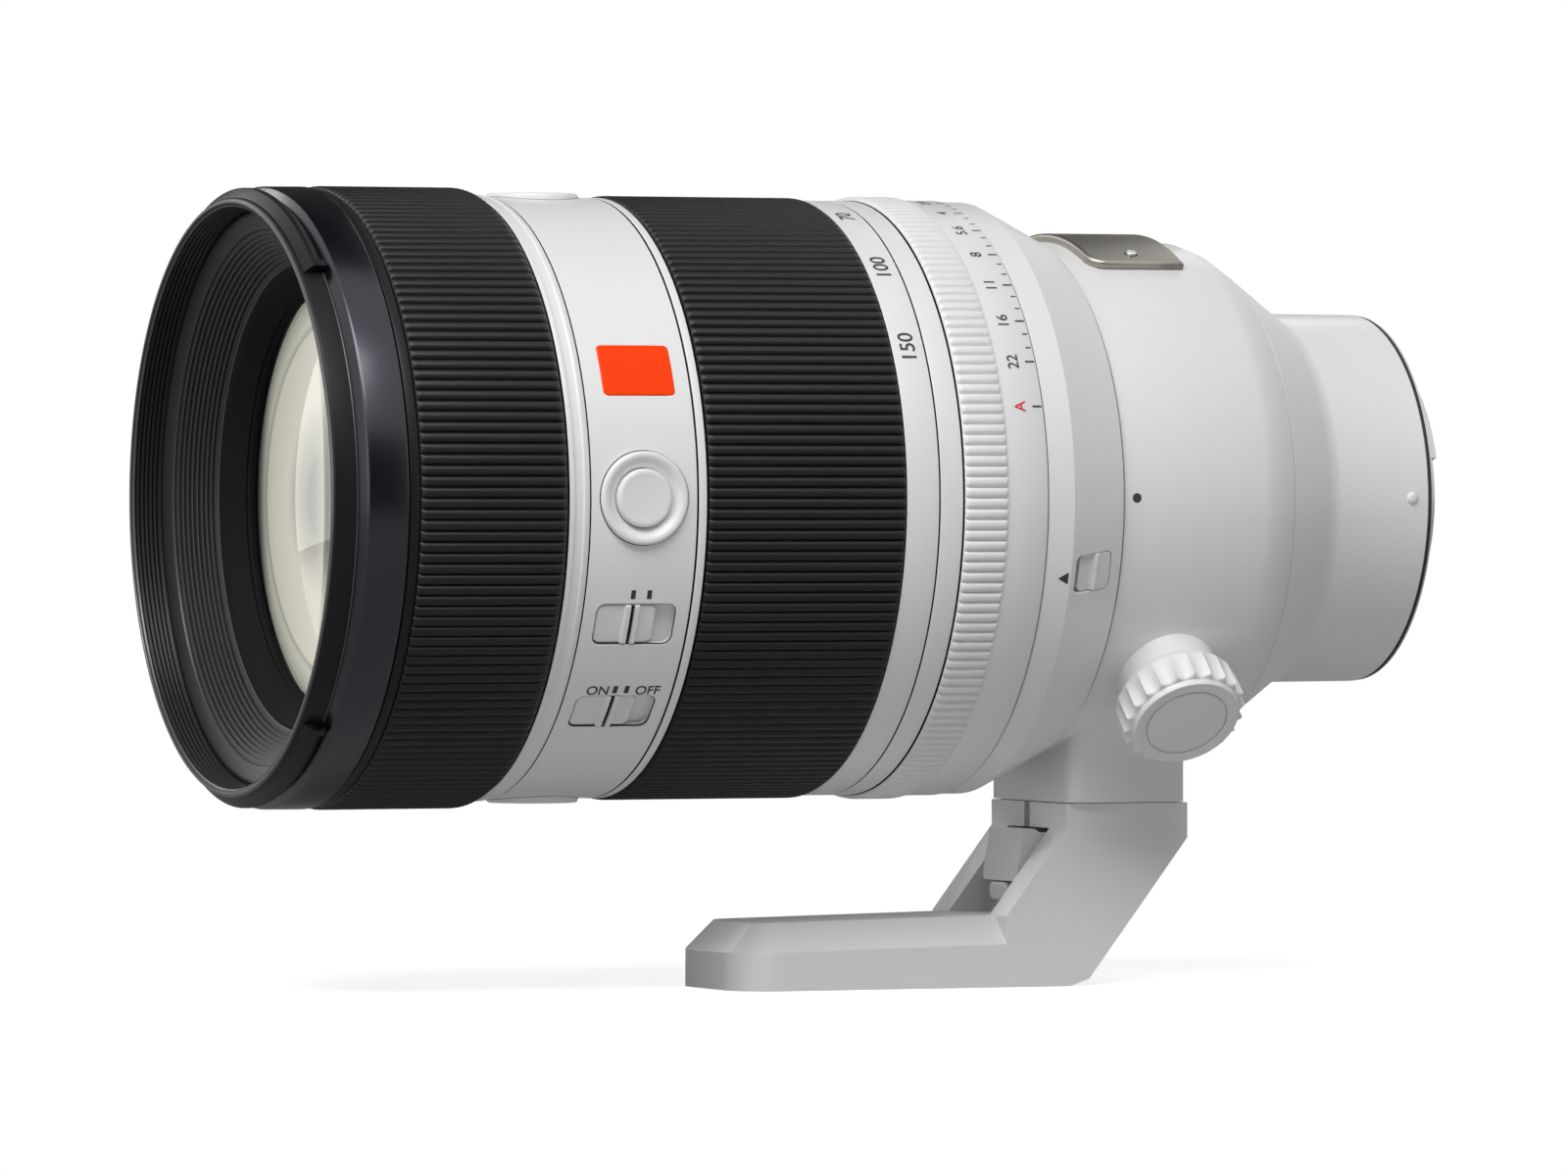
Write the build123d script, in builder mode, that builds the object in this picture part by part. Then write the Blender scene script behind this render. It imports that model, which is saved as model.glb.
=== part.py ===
from build123d import *
from math import asin, cos, degrees, pi, radians, sin, sqrt
import os

os.makedirs("parts", exist_ok=True)

# A telephoto zoom lens with a tripod collar. The optical axis is X, the front faces -X and the
# camera flange lies in the YZ plane through the origin. Angles called "clock" turn about +X, from
# the top of the barrel (+Z) to the near side (-Y).

# Widths of the rings along the axis, from the flange forwards
flange_thickness = 0.8
sleeve_length = 17.95
rear_cone_length = 10.6
collar_lip_length = 6.9
collar_width = 26.0
shoulder_cone_length = 11.35
shoulder_width = 4.6
aperture_ring_width = 14.8
aperture_scale_width = 6.7
index_ring_width = 4.0
zoom_scale_width = 5.7
zoom_grip_width = 34.9
rear_lip_width = 1.7
cover_width = 18.4
front_lip_width = 3.9
focus_grip_width = 25.5
focus_lip_width = 1.7
name_ring_width = 8.1
rim_width = 4.3

# Outer radii: the painted bands of the barrel, and the step of each other ring from its neighbour
band_radius = 49.5
scale_rise = 0.2
knurl_rise = 0.5
zoom_grip_rise = 0.4
cover_rise = 0.05
lip_rise = 0.6
focus_grip_rise = 1.5
focus_lip_drop = 0.4
rim_drop = 0.5
hood_rail_rise = 1.6
name_ring_rise = 0.3
shoulder_cone_drop = 5.7
collar_drop = 0.8
collar_lip_drop = 3.6
rear_cone_drop = 0.3
sleeve_drop = 7.9
aperture_scale_radius = band_radius + scale_rise
aperture_knurl_radius = aperture_scale_radius + knurl_rise
zoom_grip_radius = band_radius + zoom_grip_rise
cover_radius = band_radius + cover_rise
lip_radius = band_radius + lip_rise
focus_grip_radius = band_radius + focus_grip_rise
focus_lip_radius = focus_grip_radius - focus_lip_drop
rim_radius = band_radius - rim_drop
rail_radius = rim_radius + hood_rail_rise
name_ring_radius = rail_radius + name_ring_rise
shoulder_cone_radius = band_radius - shoulder_cone_drop
collar_radius = shoulder_cone_radius - collar_drop
collar_lip_radius = collar_radius - collar_lip_drop
rear_cone_radius = collar_lip_radius - rear_cone_drop
sleeve_radius = rear_cone_radius - sleeve_drop

# Fixed tubes inside them: the rings stand on the barrel, the glass lies in the front tube
ring_depth = 3.0
front_tube_wall = 1.5
main_tube_wall = 1.9
focus_journal_step = 0.7
cell_depth = 7.0
barrel_radius = band_radius - ring_depth
front_barrel_inner_radius = barrel_radius - front_tube_wall
main_barrel_inner_radius = barrel_radius - main_tube_wall
focus_journal_radius = barrel_radius + focus_journal_step
glass_radius = front_barrel_inner_radius - cell_depth

# Clearances and edges shared by the pieces
seam = 0.25
running = 0.08
fit = 0.05
sliding = 0.15
body_gap = 0.3
edge = 0.4
overrun = 3.0

# Stations along the axis, from the flange forwards
sleeve_rear_x = -flange_thickness
sleeve_front_x = sleeve_rear_x - sleeve_length
cone_front_x = sleeve_front_x - rear_cone_length
collar_rear_x = cone_front_x - seam
collar_edge_x = collar_rear_x - collar_lip_length
collar_front_x = collar_edge_x - collar_width
collar_mid_x = (collar_front_x + collar_edge_x) / 2
shoulder_rear_x = collar_front_x - seam
shoulder_mid_x = shoulder_rear_x - shoulder_cone_length
shoulder_front_x = shoulder_mid_x - shoulder_width
aperture_rear_x = shoulder_front_x - seam
aperture_scale_x = aperture_rear_x - aperture_scale_width
aperture_front_x = aperture_rear_x - aperture_ring_width
index_rear_x = aperture_front_x - seam
index_front_x = index_rear_x - index_ring_width
zoom_rear_x = index_front_x - seam
zoom_scale_x = zoom_rear_x - zoom_scale_width
zoom_front_x = zoom_scale_x - zoom_grip_width
lip_rear_x = zoom_front_x - seam
cover_rear_x = lip_rear_x - rear_lip_width
cover_front_x = cover_rear_x - cover_width
cover_mid_x = (cover_front_x + cover_rear_x) / 2
lip_front_x = cover_front_x - front_lip_width
focus_rear_x = lip_front_x - seam
focus_lip_x = focus_rear_x - focus_grip_width
focus_front_x = focus_lip_x - focus_lip_width
name_rear_x = focus_front_x - seam
name_front_x = name_rear_x - name_ring_width
rim_x = name_front_x - rim_width


def profile(*points, clock=0.0):
    """Face bounded by (station, radius) points, in the plane through the axis at a clock angle."""
    with BuildSketch(Plane.XZ.rotated((clock, 0, 0))) as sketch:
        with BuildLine():
            Polyline(*points, close=True)
        make_face()
    return sketch.sketch


def band(front, rear, inner, outer, clock=0.0):
    """Rectangular profile of a plain ring."""
    return profile((front, inner), (front, outer), (rear, outer), (rear, inner), clock=clock)


def radial_plane(station, clock, radius=0.0):
    """Plane square to the radius at a clock angle, with its local X along the axis."""
    outward = (0, -sin(radians(clock)), cos(radians(clock)))
    origin = (station, radius * outward[1], radius * outward[2])
    return Plane(origin=origin, x_dir=(1, 0, 0), z_dir=outward)


def save(piece, name):
    """Label a finished piece and write it to its own file."""
    piece.part.label = name
    export_step(piece.part, f"parts/{name}.step")


# Front ring: filter thread, rim, and the two raised rails that a hood turns on to
thread_wall = 1.5
filter_radius = rim_radius - thread_wall
filter_depth = 5.2
rim_chamfer = 0.6
thread_lead = 0.4
baffle_seat_step = 0.6
name_seat_step = 0.6
baffle_seat_radius = filter_radius - baffle_seat_step
name_seat_radius = rim_radius - name_seat_step
rail_setback = 0.9
rail_slope = 1.4
rail_land = 1.0
rail_groove_depth = 0.6
rail_groove_radius = rail_radius - rail_groove_depth
rail_half_angle = 42.5
rail_stop_angle = 1.6
baffle_seat_x = rim_x + filter_depth

with BuildPart() as front_ring:
    revolve(
        profile(
            (rim_x, filter_radius + thread_lead),
            (rim_x, rim_radius - rim_chamfer),
            (rim_x + rim_chamfer, rim_radius),
            (name_front_x, rim_radius),
            (name_front_x, name_seat_radius),
            (name_rear_x, name_seat_radius),
            (name_rear_x, baffle_seat_radius),
            (baffle_seat_x, baffle_seat_radius),
            (baffle_seat_x, filter_radius),
            (rim_x + thread_lead, filter_radius),
        ),
        axis=Axis.X,
    )
    hood_rail_x = rim_x + rail_setback
    rail_land_x = hood_rail_x + rail_slope
    for rail_clock in (0, 180):
        revolve(
            profile(
                (hood_rail_x, filter_radius + edge),
                (hood_rail_x, rim_radius),
                (rail_land_x, rail_radius),
                (rail_land_x + rail_land, rail_radius),
                (rail_land_x + rail_land, rail_groove_radius),
                (name_front_x - fit, rail_groove_radius),
                (name_front_x - fit, filter_radius + edge),
                clock=rail_clock - rail_half_angle,
            ),
            axis=Axis.X,
            revolution_arc=2 * rail_half_angle,
        )
        for stop_clock in (rail_clock - rail_half_angle, rail_clock + rail_half_angle - rail_stop_angle):
            revolve(
                band(rail_land_x, name_front_x - fit, filter_radius + edge, rail_radius, clock=stop_clock),
                axis=Axis.X,
                revolution_arc=rail_stop_angle,
            )
save(front_ring, "front_ring")

# Name ring: gloss ring pressed on the front ring, its front a bevel that closes the hood rails
name_bevel_length = 1.2
name_bevel_height = 1.8
name_inner_radius = name_seat_radius + fit

with BuildPart() as name_ring:
    revolve(
        profile(
            (name_front_x, name_inner_radius),
            (name_front_x, name_ring_radius - name_bevel_height),
            (name_front_x + name_bevel_length, name_ring_radius),
            (name_rear_x - edge, name_ring_radius),
            (name_rear_x, name_ring_radius - edge),
            (name_rear_x, name_inner_radius),
        ),
        axis=Axis.X,
    )
save(name_ring, "name_ring")

# Front glass: its size places the light trap and the retaining ring in front of it
retainer_lap = 4.4
glass_sight_radius = glass_radius - retainer_lap
glass_rim_from_front = 18.1
front_bulge = 4.9
front_glass_edge = 4.1
retainer_thickness = 1.4
cell_wall = 3.0
cell_seat_x = rim_x + glass_rim_from_front


def lens_profile(front, rear, radius, front_rise, rear_rise):
    """Half section of a round lens: edge stations, edge radius and how far each face bulges."""

    def face_points(station, rise):
        sphere = (radius * radius + rise * rise) / (2 * rise)
        middle = sphere - sqrt(sphere * sphere - radius * radius / 4) if rise > 0 else (
            sphere + sqrt(sphere * sphere - radius * radius / 4)
        )
        return (station + rise, 0), (station + rise - middle, radius / 2), (station, radius)

    front_vertex, front_middle, front_edge = face_points(front, -front_rise)
    rear_vertex, rear_middle, rear_edge = face_points(rear, rear_rise)
    with BuildSketch(Plane.XZ) as sketch:
        with BuildLine():
            ThreePointArc(front_vertex, front_middle, front_edge)
            Line(front_edge, rear_edge)
            ThreePointArc(rear_edge, rear_middle, rear_vertex)
            Line(rear_vertex, front_vertex)
        make_face()
    return sketch.sketch


front_glass_rear_x = cell_seat_x + front_glass_edge
front_glass_rear_bulge = 1.2

with BuildPart() as front_element:
    revolve(
        lens_profile(cell_seat_x, front_glass_rear_x, glass_radius, front_bulge, front_glass_rear_bulge),
        axis=Axis.X,
    )
save(front_element, "front_element")

# Retaining ring screwed into the cell in front of the glass
retainer_outer_radius = front_barrel_inner_radius - fit
glass_sphere = (glass_radius**2 + front_bulge**2) / (2 * front_bulge)
glass_vertex_x = cell_seat_x - front_bulge
glass_at_sight_x = glass_vertex_x + glass_sphere - sqrt(glass_sphere**2 - glass_sight_radius**2)
retainer_rear_x = cell_seat_x - fit
retainer_front_x = glass_at_sight_x - fit - retainer_thickness

with BuildPart() as front_retainer:
    revolve(
        profile(
            (retainer_front_x, glass_sight_radius + edge),
            (retainer_front_x, retainer_outer_radius),
            (retainer_rear_x, retainer_outer_radius),
            (retainer_rear_x, glass_radius),
            (glass_at_sight_x - fit, glass_sight_radius),
            (retainer_front_x + edge, glass_sight_radius),
        ),
        axis=Axis.X,
    )
save(front_retainer, "front_retainer")

# Light trap: a black funnel with nine sharp ribs between the filter thread and the glass
baffle_ledge_width = 3.1
baffle_ledge_radius = baffle_seat_radius - baffle_ledge_width
baffle_ledge_depth = 0.9
rib_count = 9
rib_depth = 0.45
ribs_start_from_seat = 1.3
ribs_length = 5.6
ribs_step = 0.6
throat_step = 1.4
ribs_front_radius = baffle_ledge_radius - ribs_step
ribs_rear_radius = glass_radius
baffle_throat_radius = ribs_rear_radius - throat_step
baffle_wall = 1.2
baffle_spigot_length = 3.6
baffle_rear_x = retainer_front_x - fit
ribs_start_x = baffle_seat_x + ribs_start_from_seat

baffle_points = [
    (baffle_seat_x + fit, baffle_seat_radius - fit - edge),
    (baffle_seat_x + baffle_ledge_depth, baffle_ledge_radius),
]
for rib in range(rib_count):
    rib_x = ribs_start_x + ribs_length * rib / rib_count
    rib_radius = ribs_front_radius + (ribs_rear_radius - ribs_front_radius) * rib / rib_count
    baffle_points += [(rib_x, rib_radius + rib_depth), (rib_x, rib_radius - rib_depth / 2)]
baffle_points += [
    (ribs_start_x + ribs_length, ribs_rear_radius),
    (ribs_start_x + ribs_length + edge, baffle_throat_radius),
    (baffle_rear_x, glass_sight_radius + edge),
    (baffle_rear_x, glass_sight_radius + edge + baffle_wall),
    (baffle_seat_x + baffle_spigot_length, ribs_rear_radius + baffle_wall + ribs_length),
    (baffle_seat_x + baffle_spigot_length, baffle_seat_radius - fit),
    (baffle_seat_x + fit, baffle_seat_radius - fit),
]

with BuildPart() as front_baffle:
    revolve(profile(*baffle_points), axis=Axis.X)
save(front_baffle, "front_baffle")

# Front barrel: fixed tube screwed into the front ring, the focus ring turns on it
barrel_joint_length = 2.0
front_barrel_front_x = baffle_seat_x + baffle_spigot_length + fit
barrel_joint_x = cover_front_x + barrel_joint_length

with BuildPart() as front_barrel:
    revolve(
        profile(
            (front_barrel_front_x, front_barrel_inner_radius),
            (front_barrel_front_x, baffle_seat_radius - fit),
            (name_rear_x + fit, baffle_seat_radius - fit),
            (name_rear_x + fit, focus_journal_radius),
            (focus_rear_x + seam, focus_journal_radius),
            (focus_rear_x + seam, barrel_radius),
            (barrel_joint_x, barrel_radius),
            (barrel_joint_x, front_barrel_inner_radius),
        ),
        axis=Axis.X,
    )
save(front_barrel, "front_barrel")

# Front cell: holds the two front glasses on each side of a shoulder
cell_shoulder_width = 1.8
cell_shoulder_height = 3.0
cell_band_radius = glass_radius - cell_shoulder_height
second_glass_edge = 7.0
second_glass_bulge = 2.4
cell_rear_wall = 2.0
cell_flange_length = 5.0
cell_outer_radius = glass_radius + cell_wall
second_glass_x = front_glass_rear_x + cell_shoulder_width
cell_rear_x = second_glass_x + second_glass_edge + cell_rear_wall

with BuildPart() as front_cell:
    revolve(
        profile(
            (cell_seat_x, glass_radius + fit),
            (cell_seat_x, retainer_outer_radius),
            (cell_seat_x + cell_flange_length, retainer_outer_radius),
            (cell_seat_x + cell_flange_length, cell_outer_radius),
            (cell_rear_x, cell_outer_radius),
            (cell_rear_x, glass_radius + fit),
            (second_glass_x, glass_radius + fit),
            (second_glass_x, cell_band_radius),
            (front_glass_rear_x + seam, cell_band_radius),
            (front_glass_rear_x + seam, glass_radius + fit),
        ),
        axis=Axis.X,
    )
save(front_cell, "front_cell")

with BuildPart() as second_element:
    second_glass_rear_x = second_glass_x + second_glass_edge
    revolve(
        lens_profile(
            second_glass_x,
            second_glass_rear_x,
            glass_radius,
            -cell_shoulder_width / 2,
            second_glass_bulge,
        ),
        axis=Axis.X,
    )
save(second_element, "second_element")

# Focus ring: carrier with a thin front lip, and the ribbed rubber sleeve stretched over it
focus_rubber = 1.6
focus_seat_radius = focus_grip_radius - focus_rubber
grip_shoulder = 0.8

with BuildPart() as focus_ring:
    revolve(
        profile(
            (focus_front_x, focus_journal_radius + running),
            (focus_front_x, focus_lip_radius - edge),
            (focus_front_x + edge, focus_lip_radius),
            (focus_lip_x, focus_lip_radius),
            (focus_lip_x, focus_seat_radius),
            (focus_rear_x, focus_seat_radius),
            (focus_rear_x, focus_journal_radius + running),
        ),
        axis=Axis.X,
    )
save(focus_ring, "focus_ring")

with BuildPart() as focus_grip:
    revolve(
        profile(
            (focus_lip_x + fit, focus_seat_radius),
            (focus_lip_x + fit, focus_grip_radius - edge),
            (focus_lip_x + edge, focus_grip_radius),
            (focus_rear_x - 2 * grip_shoulder, focus_grip_radius),
            (focus_rear_x, focus_grip_radius - grip_shoulder),
            (focus_rear_x, focus_seat_radius),
        ),
        axis=Axis.X,
    )
save(focus_grip, "focus_grip")

# Focus hold buttons and the two sliding switches: their sizes cut the barrel and its cover
button_clocks = {"top": 0, "side": 90, "bottom": 180}
cover_bed_depth = 1.2
boss_margin = 1.5
boss_land = 3.0
boss_height = 0.6
cover_seat_radius = band_radius - cover_bed_depth
boss_radius = cover_width / 2 - boss_margin
button_radius = boss_radius - boss_land
button_crown = cover_radius + boss_height
button_flange = 0.7
button_flange_thickness = 0.7
button_flange_top = sqrt(cover_seat_radius**2 - (button_radius + button_flange) ** 2)
boss_taper_angle = 4
switch_window_margin = 4.5
switch_window_width = 7.2
switch_window = (cover_width - switch_window_margin, switch_window_width)
switch_window_corner = 1.5
switch_travel = 3.2
switch_slider_length = switch_window[0] - switch_travel - 2 * sliding
switch_clocks = {"focus_mode_switch": 114.3, "override_switch": 134.3}
badge_clock_angle = 65.4
badge_margin = 6.7
badge_width = 9.0
badge_size = (cover_width - badge_margin, badge_width)
badge_corner = 0.9
badge_inlay = 0.35
badge_rise = 0.25
badge_bed_radius = cover_radius * cos(asin(badge_size[1] / 2 / cover_radius)) - badge_inlay
groove_depth = 0.35
groove_width = 1.6
groove_setback = 1.0

# Switch barrel: white barrel with a rounded front lip and a narrow rear lip round the cover
with BuildPart() as switch_barrel:
    revolve(
        profile(
            (lip_front_x, barrel_radius + fit),
            (lip_front_x, lip_radius - edge),
            (lip_front_x + edge, lip_radius),
            (lip_front_x + groove_setback, lip_radius),
            (lip_front_x + groove_setback, lip_radius - groove_depth),
            (lip_front_x + groove_setback + groove_width, lip_radius - groove_depth),
            (cover_front_x - fit, band_radius),
            (cover_front_x - fit, cover_seat_radius),
            (cover_rear_x + fit, cover_seat_radius),
            (cover_rear_x + fit, band_radius),
            (lip_rear_x, band_radius),
            (lip_rear_x, barrel_radius + fit),
        ),
        axis=Axis.X,
    )
    for button_clock in button_clocks.values():
        with BuildSketch(radial_plane(cover_mid_x, button_clock)):
            Circle(button_radius + button_flange + sliding)
        extrude(amount=lip_radius + overrun, mode=Mode.SUBTRACT)
save(switch_barrel, "switch_barrel")

# Switch cover: ring with three button bosses, two switch windows and a shallow bed for the badge
with BuildPart() as switch_cover:
    revolve(
        band(cover_front_x + fit, cover_rear_x - fit, cover_seat_radius + fit, cover_radius),
        axis=Axis.X,
    )
    for button_clock in button_clocks.values():
        with BuildSketch(radial_plane(cover_mid_x, button_clock, cover_seat_radius + fit)):
            Circle(boss_radius)
        extrude(amount=cover_radius + boss_height - cover_seat_radius - fit, taper=boss_taper_angle)
    for button_clock in button_clocks.values():
        with BuildSketch(radial_plane(cover_mid_x, button_clock)):
            Circle(button_radius + sliding)
        extrude(amount=cover_radius + overrun, mode=Mode.SUBTRACT)
    for switch_clock in switch_clocks.values():
        with BuildSketch(radial_plane(cover_mid_x, switch_clock)):
            RectangleRounded(*switch_window, switch_window_corner)
        extrude(amount=cover_radius + overrun, mode=Mode.SUBTRACT)
    with BuildSketch(radial_plane(cover_mid_x, badge_clock_angle, badge_bed_radius)):
        RectangleRounded(*badge_size, badge_corner)
    extrude(amount=overrun, mode=Mode.SUBTRACT)
save(switch_cover, "switch_cover")

# Badge plate: bare coloured plate laid in its bed
with BuildPart() as badge_plate:
    with BuildSketch(radial_plane(cover_mid_x, badge_clock_angle, badge_bed_radius)):
        RectangleRounded(badge_size[0] - 2 * fit, badge_size[1] - 2 * fit, badge_corner - fit)
    extrude(amount=overrun)
    revolve(
        band(cover_front_x, cover_rear_x, badge_bed_radius - overrun, cover_radius + badge_rise),
        axis=Axis.X,
        mode=Mode.INTERSECT,
    )
save(badge_plate, "badge_plate")

# Focus hold buttons: flanged caps trapped under the cover
for place, button_clock in button_clocks.items():
    flange_base = button_flange_top - button_flange_thickness
    with BuildPart() as button:
        with BuildSketch(radial_plane(cover_mid_x, button_clock, flange_base)):
            Circle(button_radius + button_flange)
        extrude(amount=button_flange_thickness)
        with BuildSketch(radial_plane(cover_mid_x, button_clock, flange_base)):
            Circle(button_radius)
        extrude(amount=button_crown - flange_base)
        outward = Axis((0, 0, 0), radial_plane(0, button_clock).z_dir)
        fillet(faces().sort_by(outward)[-1].edges(), edge)
    save(button, f"focus_hold_button_{place}")

# Sliding switches: curved plates that lie on the switch barrel inside their windows
slider_sink = 0.4
ridge_rise = 0.2
ridge_width = 1.1
slider_top_radius = cover_radius - slider_sink
ridge_radius = cover_radius + ridge_rise
slider_front_x = cover_mid_x - switch_window[0] / 2 + sliding
slider_mid_x = slider_front_x + switch_slider_length / 2

for switch_name, switch_clock in switch_clocks.items():
    with BuildPart() as slider:
        revolve(
            band(cover_front_x, cover_rear_x, cover_seat_radius + sliding, slider_top_radius),
            axis=Axis.X,
        )
        revolve(
            band(
                slider_mid_x - ridge_width / 2,
                slider_mid_x + ridge_width / 2,
                cover_seat_radius + sliding,
                ridge_radius,
            ),
            axis=Axis.X,
        )
        with BuildSketch(radial_plane(slider_mid_x, switch_clock)):
            RectangleRounded(
                switch_slider_length,
                switch_window[1] - 2 * sliding,
                switch_window_corner - sliding,
            )
        extrude(amount=cover_radius + overrun, mode=Mode.INTERSECT)
    save(slider, switch_name)

# Main barrel: fixed tube that carries the zoom, index and aperture rings
main_barrel_end_length = 0.4
key_radius = 1.5
key_clock_angle = 250.0
zoom_turn_angle = 60.0
main_barrel_rear_x = shoulder_mid_x + main_barrel_end_length
key_x = zoom_rear_x - zoom_scale_width / 2 - zoom_grip_width / 2
key_angle = degrees(asin((key_radius + sliding) / main_barrel_inner_radius))

with BuildPart() as main_barrel:
    revolve(
        band(barrel_joint_x + fit, main_barrel_rear_x, main_barrel_inner_radius, barrel_radius),
        axis=Axis.X,
    )
    revolve(
        band(
            key_x - key_radius - sliding,
            key_x + key_radius + sliding,
            main_barrel_inner_radius - overrun,
            barrel_radius + overrun,
            clock=key_clock_angle - zoom_turn_angle - key_angle,
        ),
        axis=Axis.X,
        revolution_arc=zoom_turn_angle + 2 * key_angle,
        mode=Mode.SUBTRACT,
    )
save(main_barrel, "main_barrel")

# Zoom ring: carrier with its white number band, and the ribbed rubber sleeve
zoom_seat_depth = 1.2
zoom_seat_radius = band_radius - zoom_seat_depth

with BuildPart() as zoom_ring:
    revolve(
        profile(
            (zoom_front_x, barrel_radius + running),
            (zoom_front_x, zoom_seat_radius),
            (zoom_scale_x, zoom_seat_radius),
            (zoom_scale_x, band_radius),
            (zoom_rear_x - edge / 2, band_radius),
            (zoom_rear_x, band_radius - edge / 2),
            (zoom_rear_x, barrel_radius + running),
        ),
        axis=Axis.X,
    )
    with BuildSketch(radial_plane(key_x, key_clock_angle)):
        Circle(key_radius + fit)
    extrude(amount=zoom_seat_radius - edge, mode=Mode.SUBTRACT)
save(zoom_ring, "zoom_ring")

with BuildPart() as zoom_grip:
    revolve(
        profile(
            (zoom_front_x, zoom_seat_radius),
            (zoom_front_x, zoom_grip_radius - edge),
            (zoom_front_x + edge, zoom_grip_radius),
            (zoom_scale_x - fit - edge, zoom_grip_radius),
            (zoom_scale_x - fit, zoom_grip_radius - edge),
            (zoom_scale_x - fit, zoom_seat_radius),
        ),
        axis=Axis.X,
    )
save(zoom_grip, "zoom_grip")

# Cam barrel: tube inside the main barrel, its lug drives it with the zoom ring
cam_outer_radius = main_barrel_inner_radius - body_gap
cam_wall = 1.4
cam_overhang = 3.1
cam_length = zoom_grip_width + cam_overhang
cam_inner_radius = cam_outer_radius - cam_wall
cam_front_x = key_x - cam_length / 2
cam_rear_x = key_x + cam_length / 2

with BuildPart() as cam_barrel:
    with BuildSketch(radial_plane(key_x, key_clock_angle, cam_inner_radius)):
        Circle(key_radius)
    extrude(amount=zoom_seat_radius - edge - fit - cam_inner_radius)
    revolve(band(cam_front_x, cam_rear_x, cam_inner_radius, cam_outer_radius), axis=Axis.X)
save(cam_barrel, "cam_barrel")

# Index ring: narrow fixed ring between the zoom ring and the aperture ring
with BuildPart() as index_ring:
    revolve(band(index_front_x, index_rear_x, barrel_radius + fit, band_radius), axis=Axis.X)
save(index_ring, "index_ring")

# Aperture ring: knurled front half, plain rear half that carries the numbers
with BuildPart() as aperture_ring:
    revolve(
        profile(
            (aperture_front_x, barrel_radius + running),
            (aperture_front_x, aperture_knurl_radius - edge),
            (aperture_front_x + edge, aperture_knurl_radius),
            (aperture_scale_x - edge, aperture_knurl_radius),
            (aperture_scale_x, aperture_scale_radius),
            (aperture_rear_x - edge / 2, aperture_scale_radius),
            (aperture_rear_x, aperture_scale_radius - edge / 2),
            (aperture_rear_x, barrel_radius + running),
        ),
        axis=Axis.X,
    )
save(aperture_ring, "aperture_ring")

# Rear barrel: shoulder and cone, then the journal that the tripod collar turns on
collar_lip_wall = 1.8
rear_barrel_wall = 2.2
collar_journal_radius = collar_lip_radius - collar_lip_wall
shoulder_wall = 2.0
lock_clock_angle = 105.1
lock_window = (8.1, 6.6)
lock_corner = 1.2
lock_window_from_shoulder = 1.0
lock_floor_drop = 0.4
lock_floor_radius = shoulder_cone_radius - lock_floor_drop
lock_slider_length = 6.6
lock_travel = 1.2
lock_front_step = 0.9
lock_ridge_rise = 0.35
lock_ridge_width = 0.8
journal_inner_radius = collar_journal_radius - rear_barrel_wall
cone_fall = (band_radius - shoulder_cone_radius) / shoulder_cone_length
lock_window_x = shoulder_mid_x + lock_window_from_shoulder + lock_window[0] / 2


def cone_radius(station):
    """Outer radius of the shoulder cone at a station."""
    return band_radius - (station - shoulder_mid_x) * cone_fall


with BuildPart() as lock_recess:
    with BuildSketch(radial_plane(lock_window_x, lock_clock_angle)):
        RectangleRounded(*lock_window, lock_corner)
    extrude(amount=band_radius + overrun)
    revolve(
        band(
            shoulder_mid_x - overrun,
            shoulder_rear_x + overrun,
            lock_floor_radius,
            band_radius + overrun,
        ),
        axis=Axis.X,
        mode=Mode.INTERSECT,
    )

with BuildPart() as rear_barrel:
    revolve(
        profile(
            (shoulder_front_x, barrel_radius + fit),
            (shoulder_front_x, band_radius - edge / 2),
            (shoulder_front_x + edge / 2, band_radius),
            (shoulder_mid_x, band_radius),
            (shoulder_rear_x, shoulder_cone_radius),
            (shoulder_rear_x, collar_journal_radius),
            (cone_front_x, collar_journal_radius),
            (cone_front_x, journal_inner_radius),
            (shoulder_rear_x - shoulder_wall, journal_inner_radius),
            (shoulder_rear_x - shoulder_wall, collar_journal_radius),
            (main_barrel_rear_x + fit, lock_floor_radius - shoulder_wall),
            (main_barrel_rear_x + fit, barrel_radius + fit),
        ),
        axis=Axis.X,
    )
    add(lock_recess.part, mode=Mode.SUBTRACT)
save(rear_barrel, "rear_barrel")

# Lock switch: slider with a ridge, in a recess of the cone, which slides forwards
lock_slider_rear_x = lock_window_x + lock_window[0] / 2 - sliding
lock_slider_front_x = lock_slider_rear_x - lock_slider_length
lock_slider_mid_x = (lock_slider_front_x + lock_slider_rear_x) / 2

with BuildPart() as iris_lock_switch:
    revolve(
        profile(
            (lock_slider_front_x, lock_floor_radius + sliding),
            (lock_slider_front_x, cone_radius(lock_slider_front_x) - lock_front_step),
            (lock_slider_mid_x - lock_ridge_width, cone_radius(lock_slider_mid_x) - lock_front_step / 2),
            (lock_slider_mid_x, cone_radius(lock_slider_mid_x) + lock_ridge_rise),
            (lock_slider_mid_x + lock_ridge_width, cone_radius(lock_slider_mid_x + lock_ridge_width)),
            (lock_slider_rear_x, cone_radius(lock_slider_rear_x)),
            (lock_slider_rear_x, lock_floor_radius + sliding),
        ),
        axis=Axis.X,
    )
    with BuildSketch(radial_plane(lock_slider_mid_x, lock_clock_angle)):
        RectangleRounded(lock_slider_length, lock_window[1] - 2 * sliding, lock_corner - sliding)
    extrude(amount=band_radius + overrun, mode=Mode.INTERSECT)
save(iris_lock_switch, "iris_lock_switch")

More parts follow.
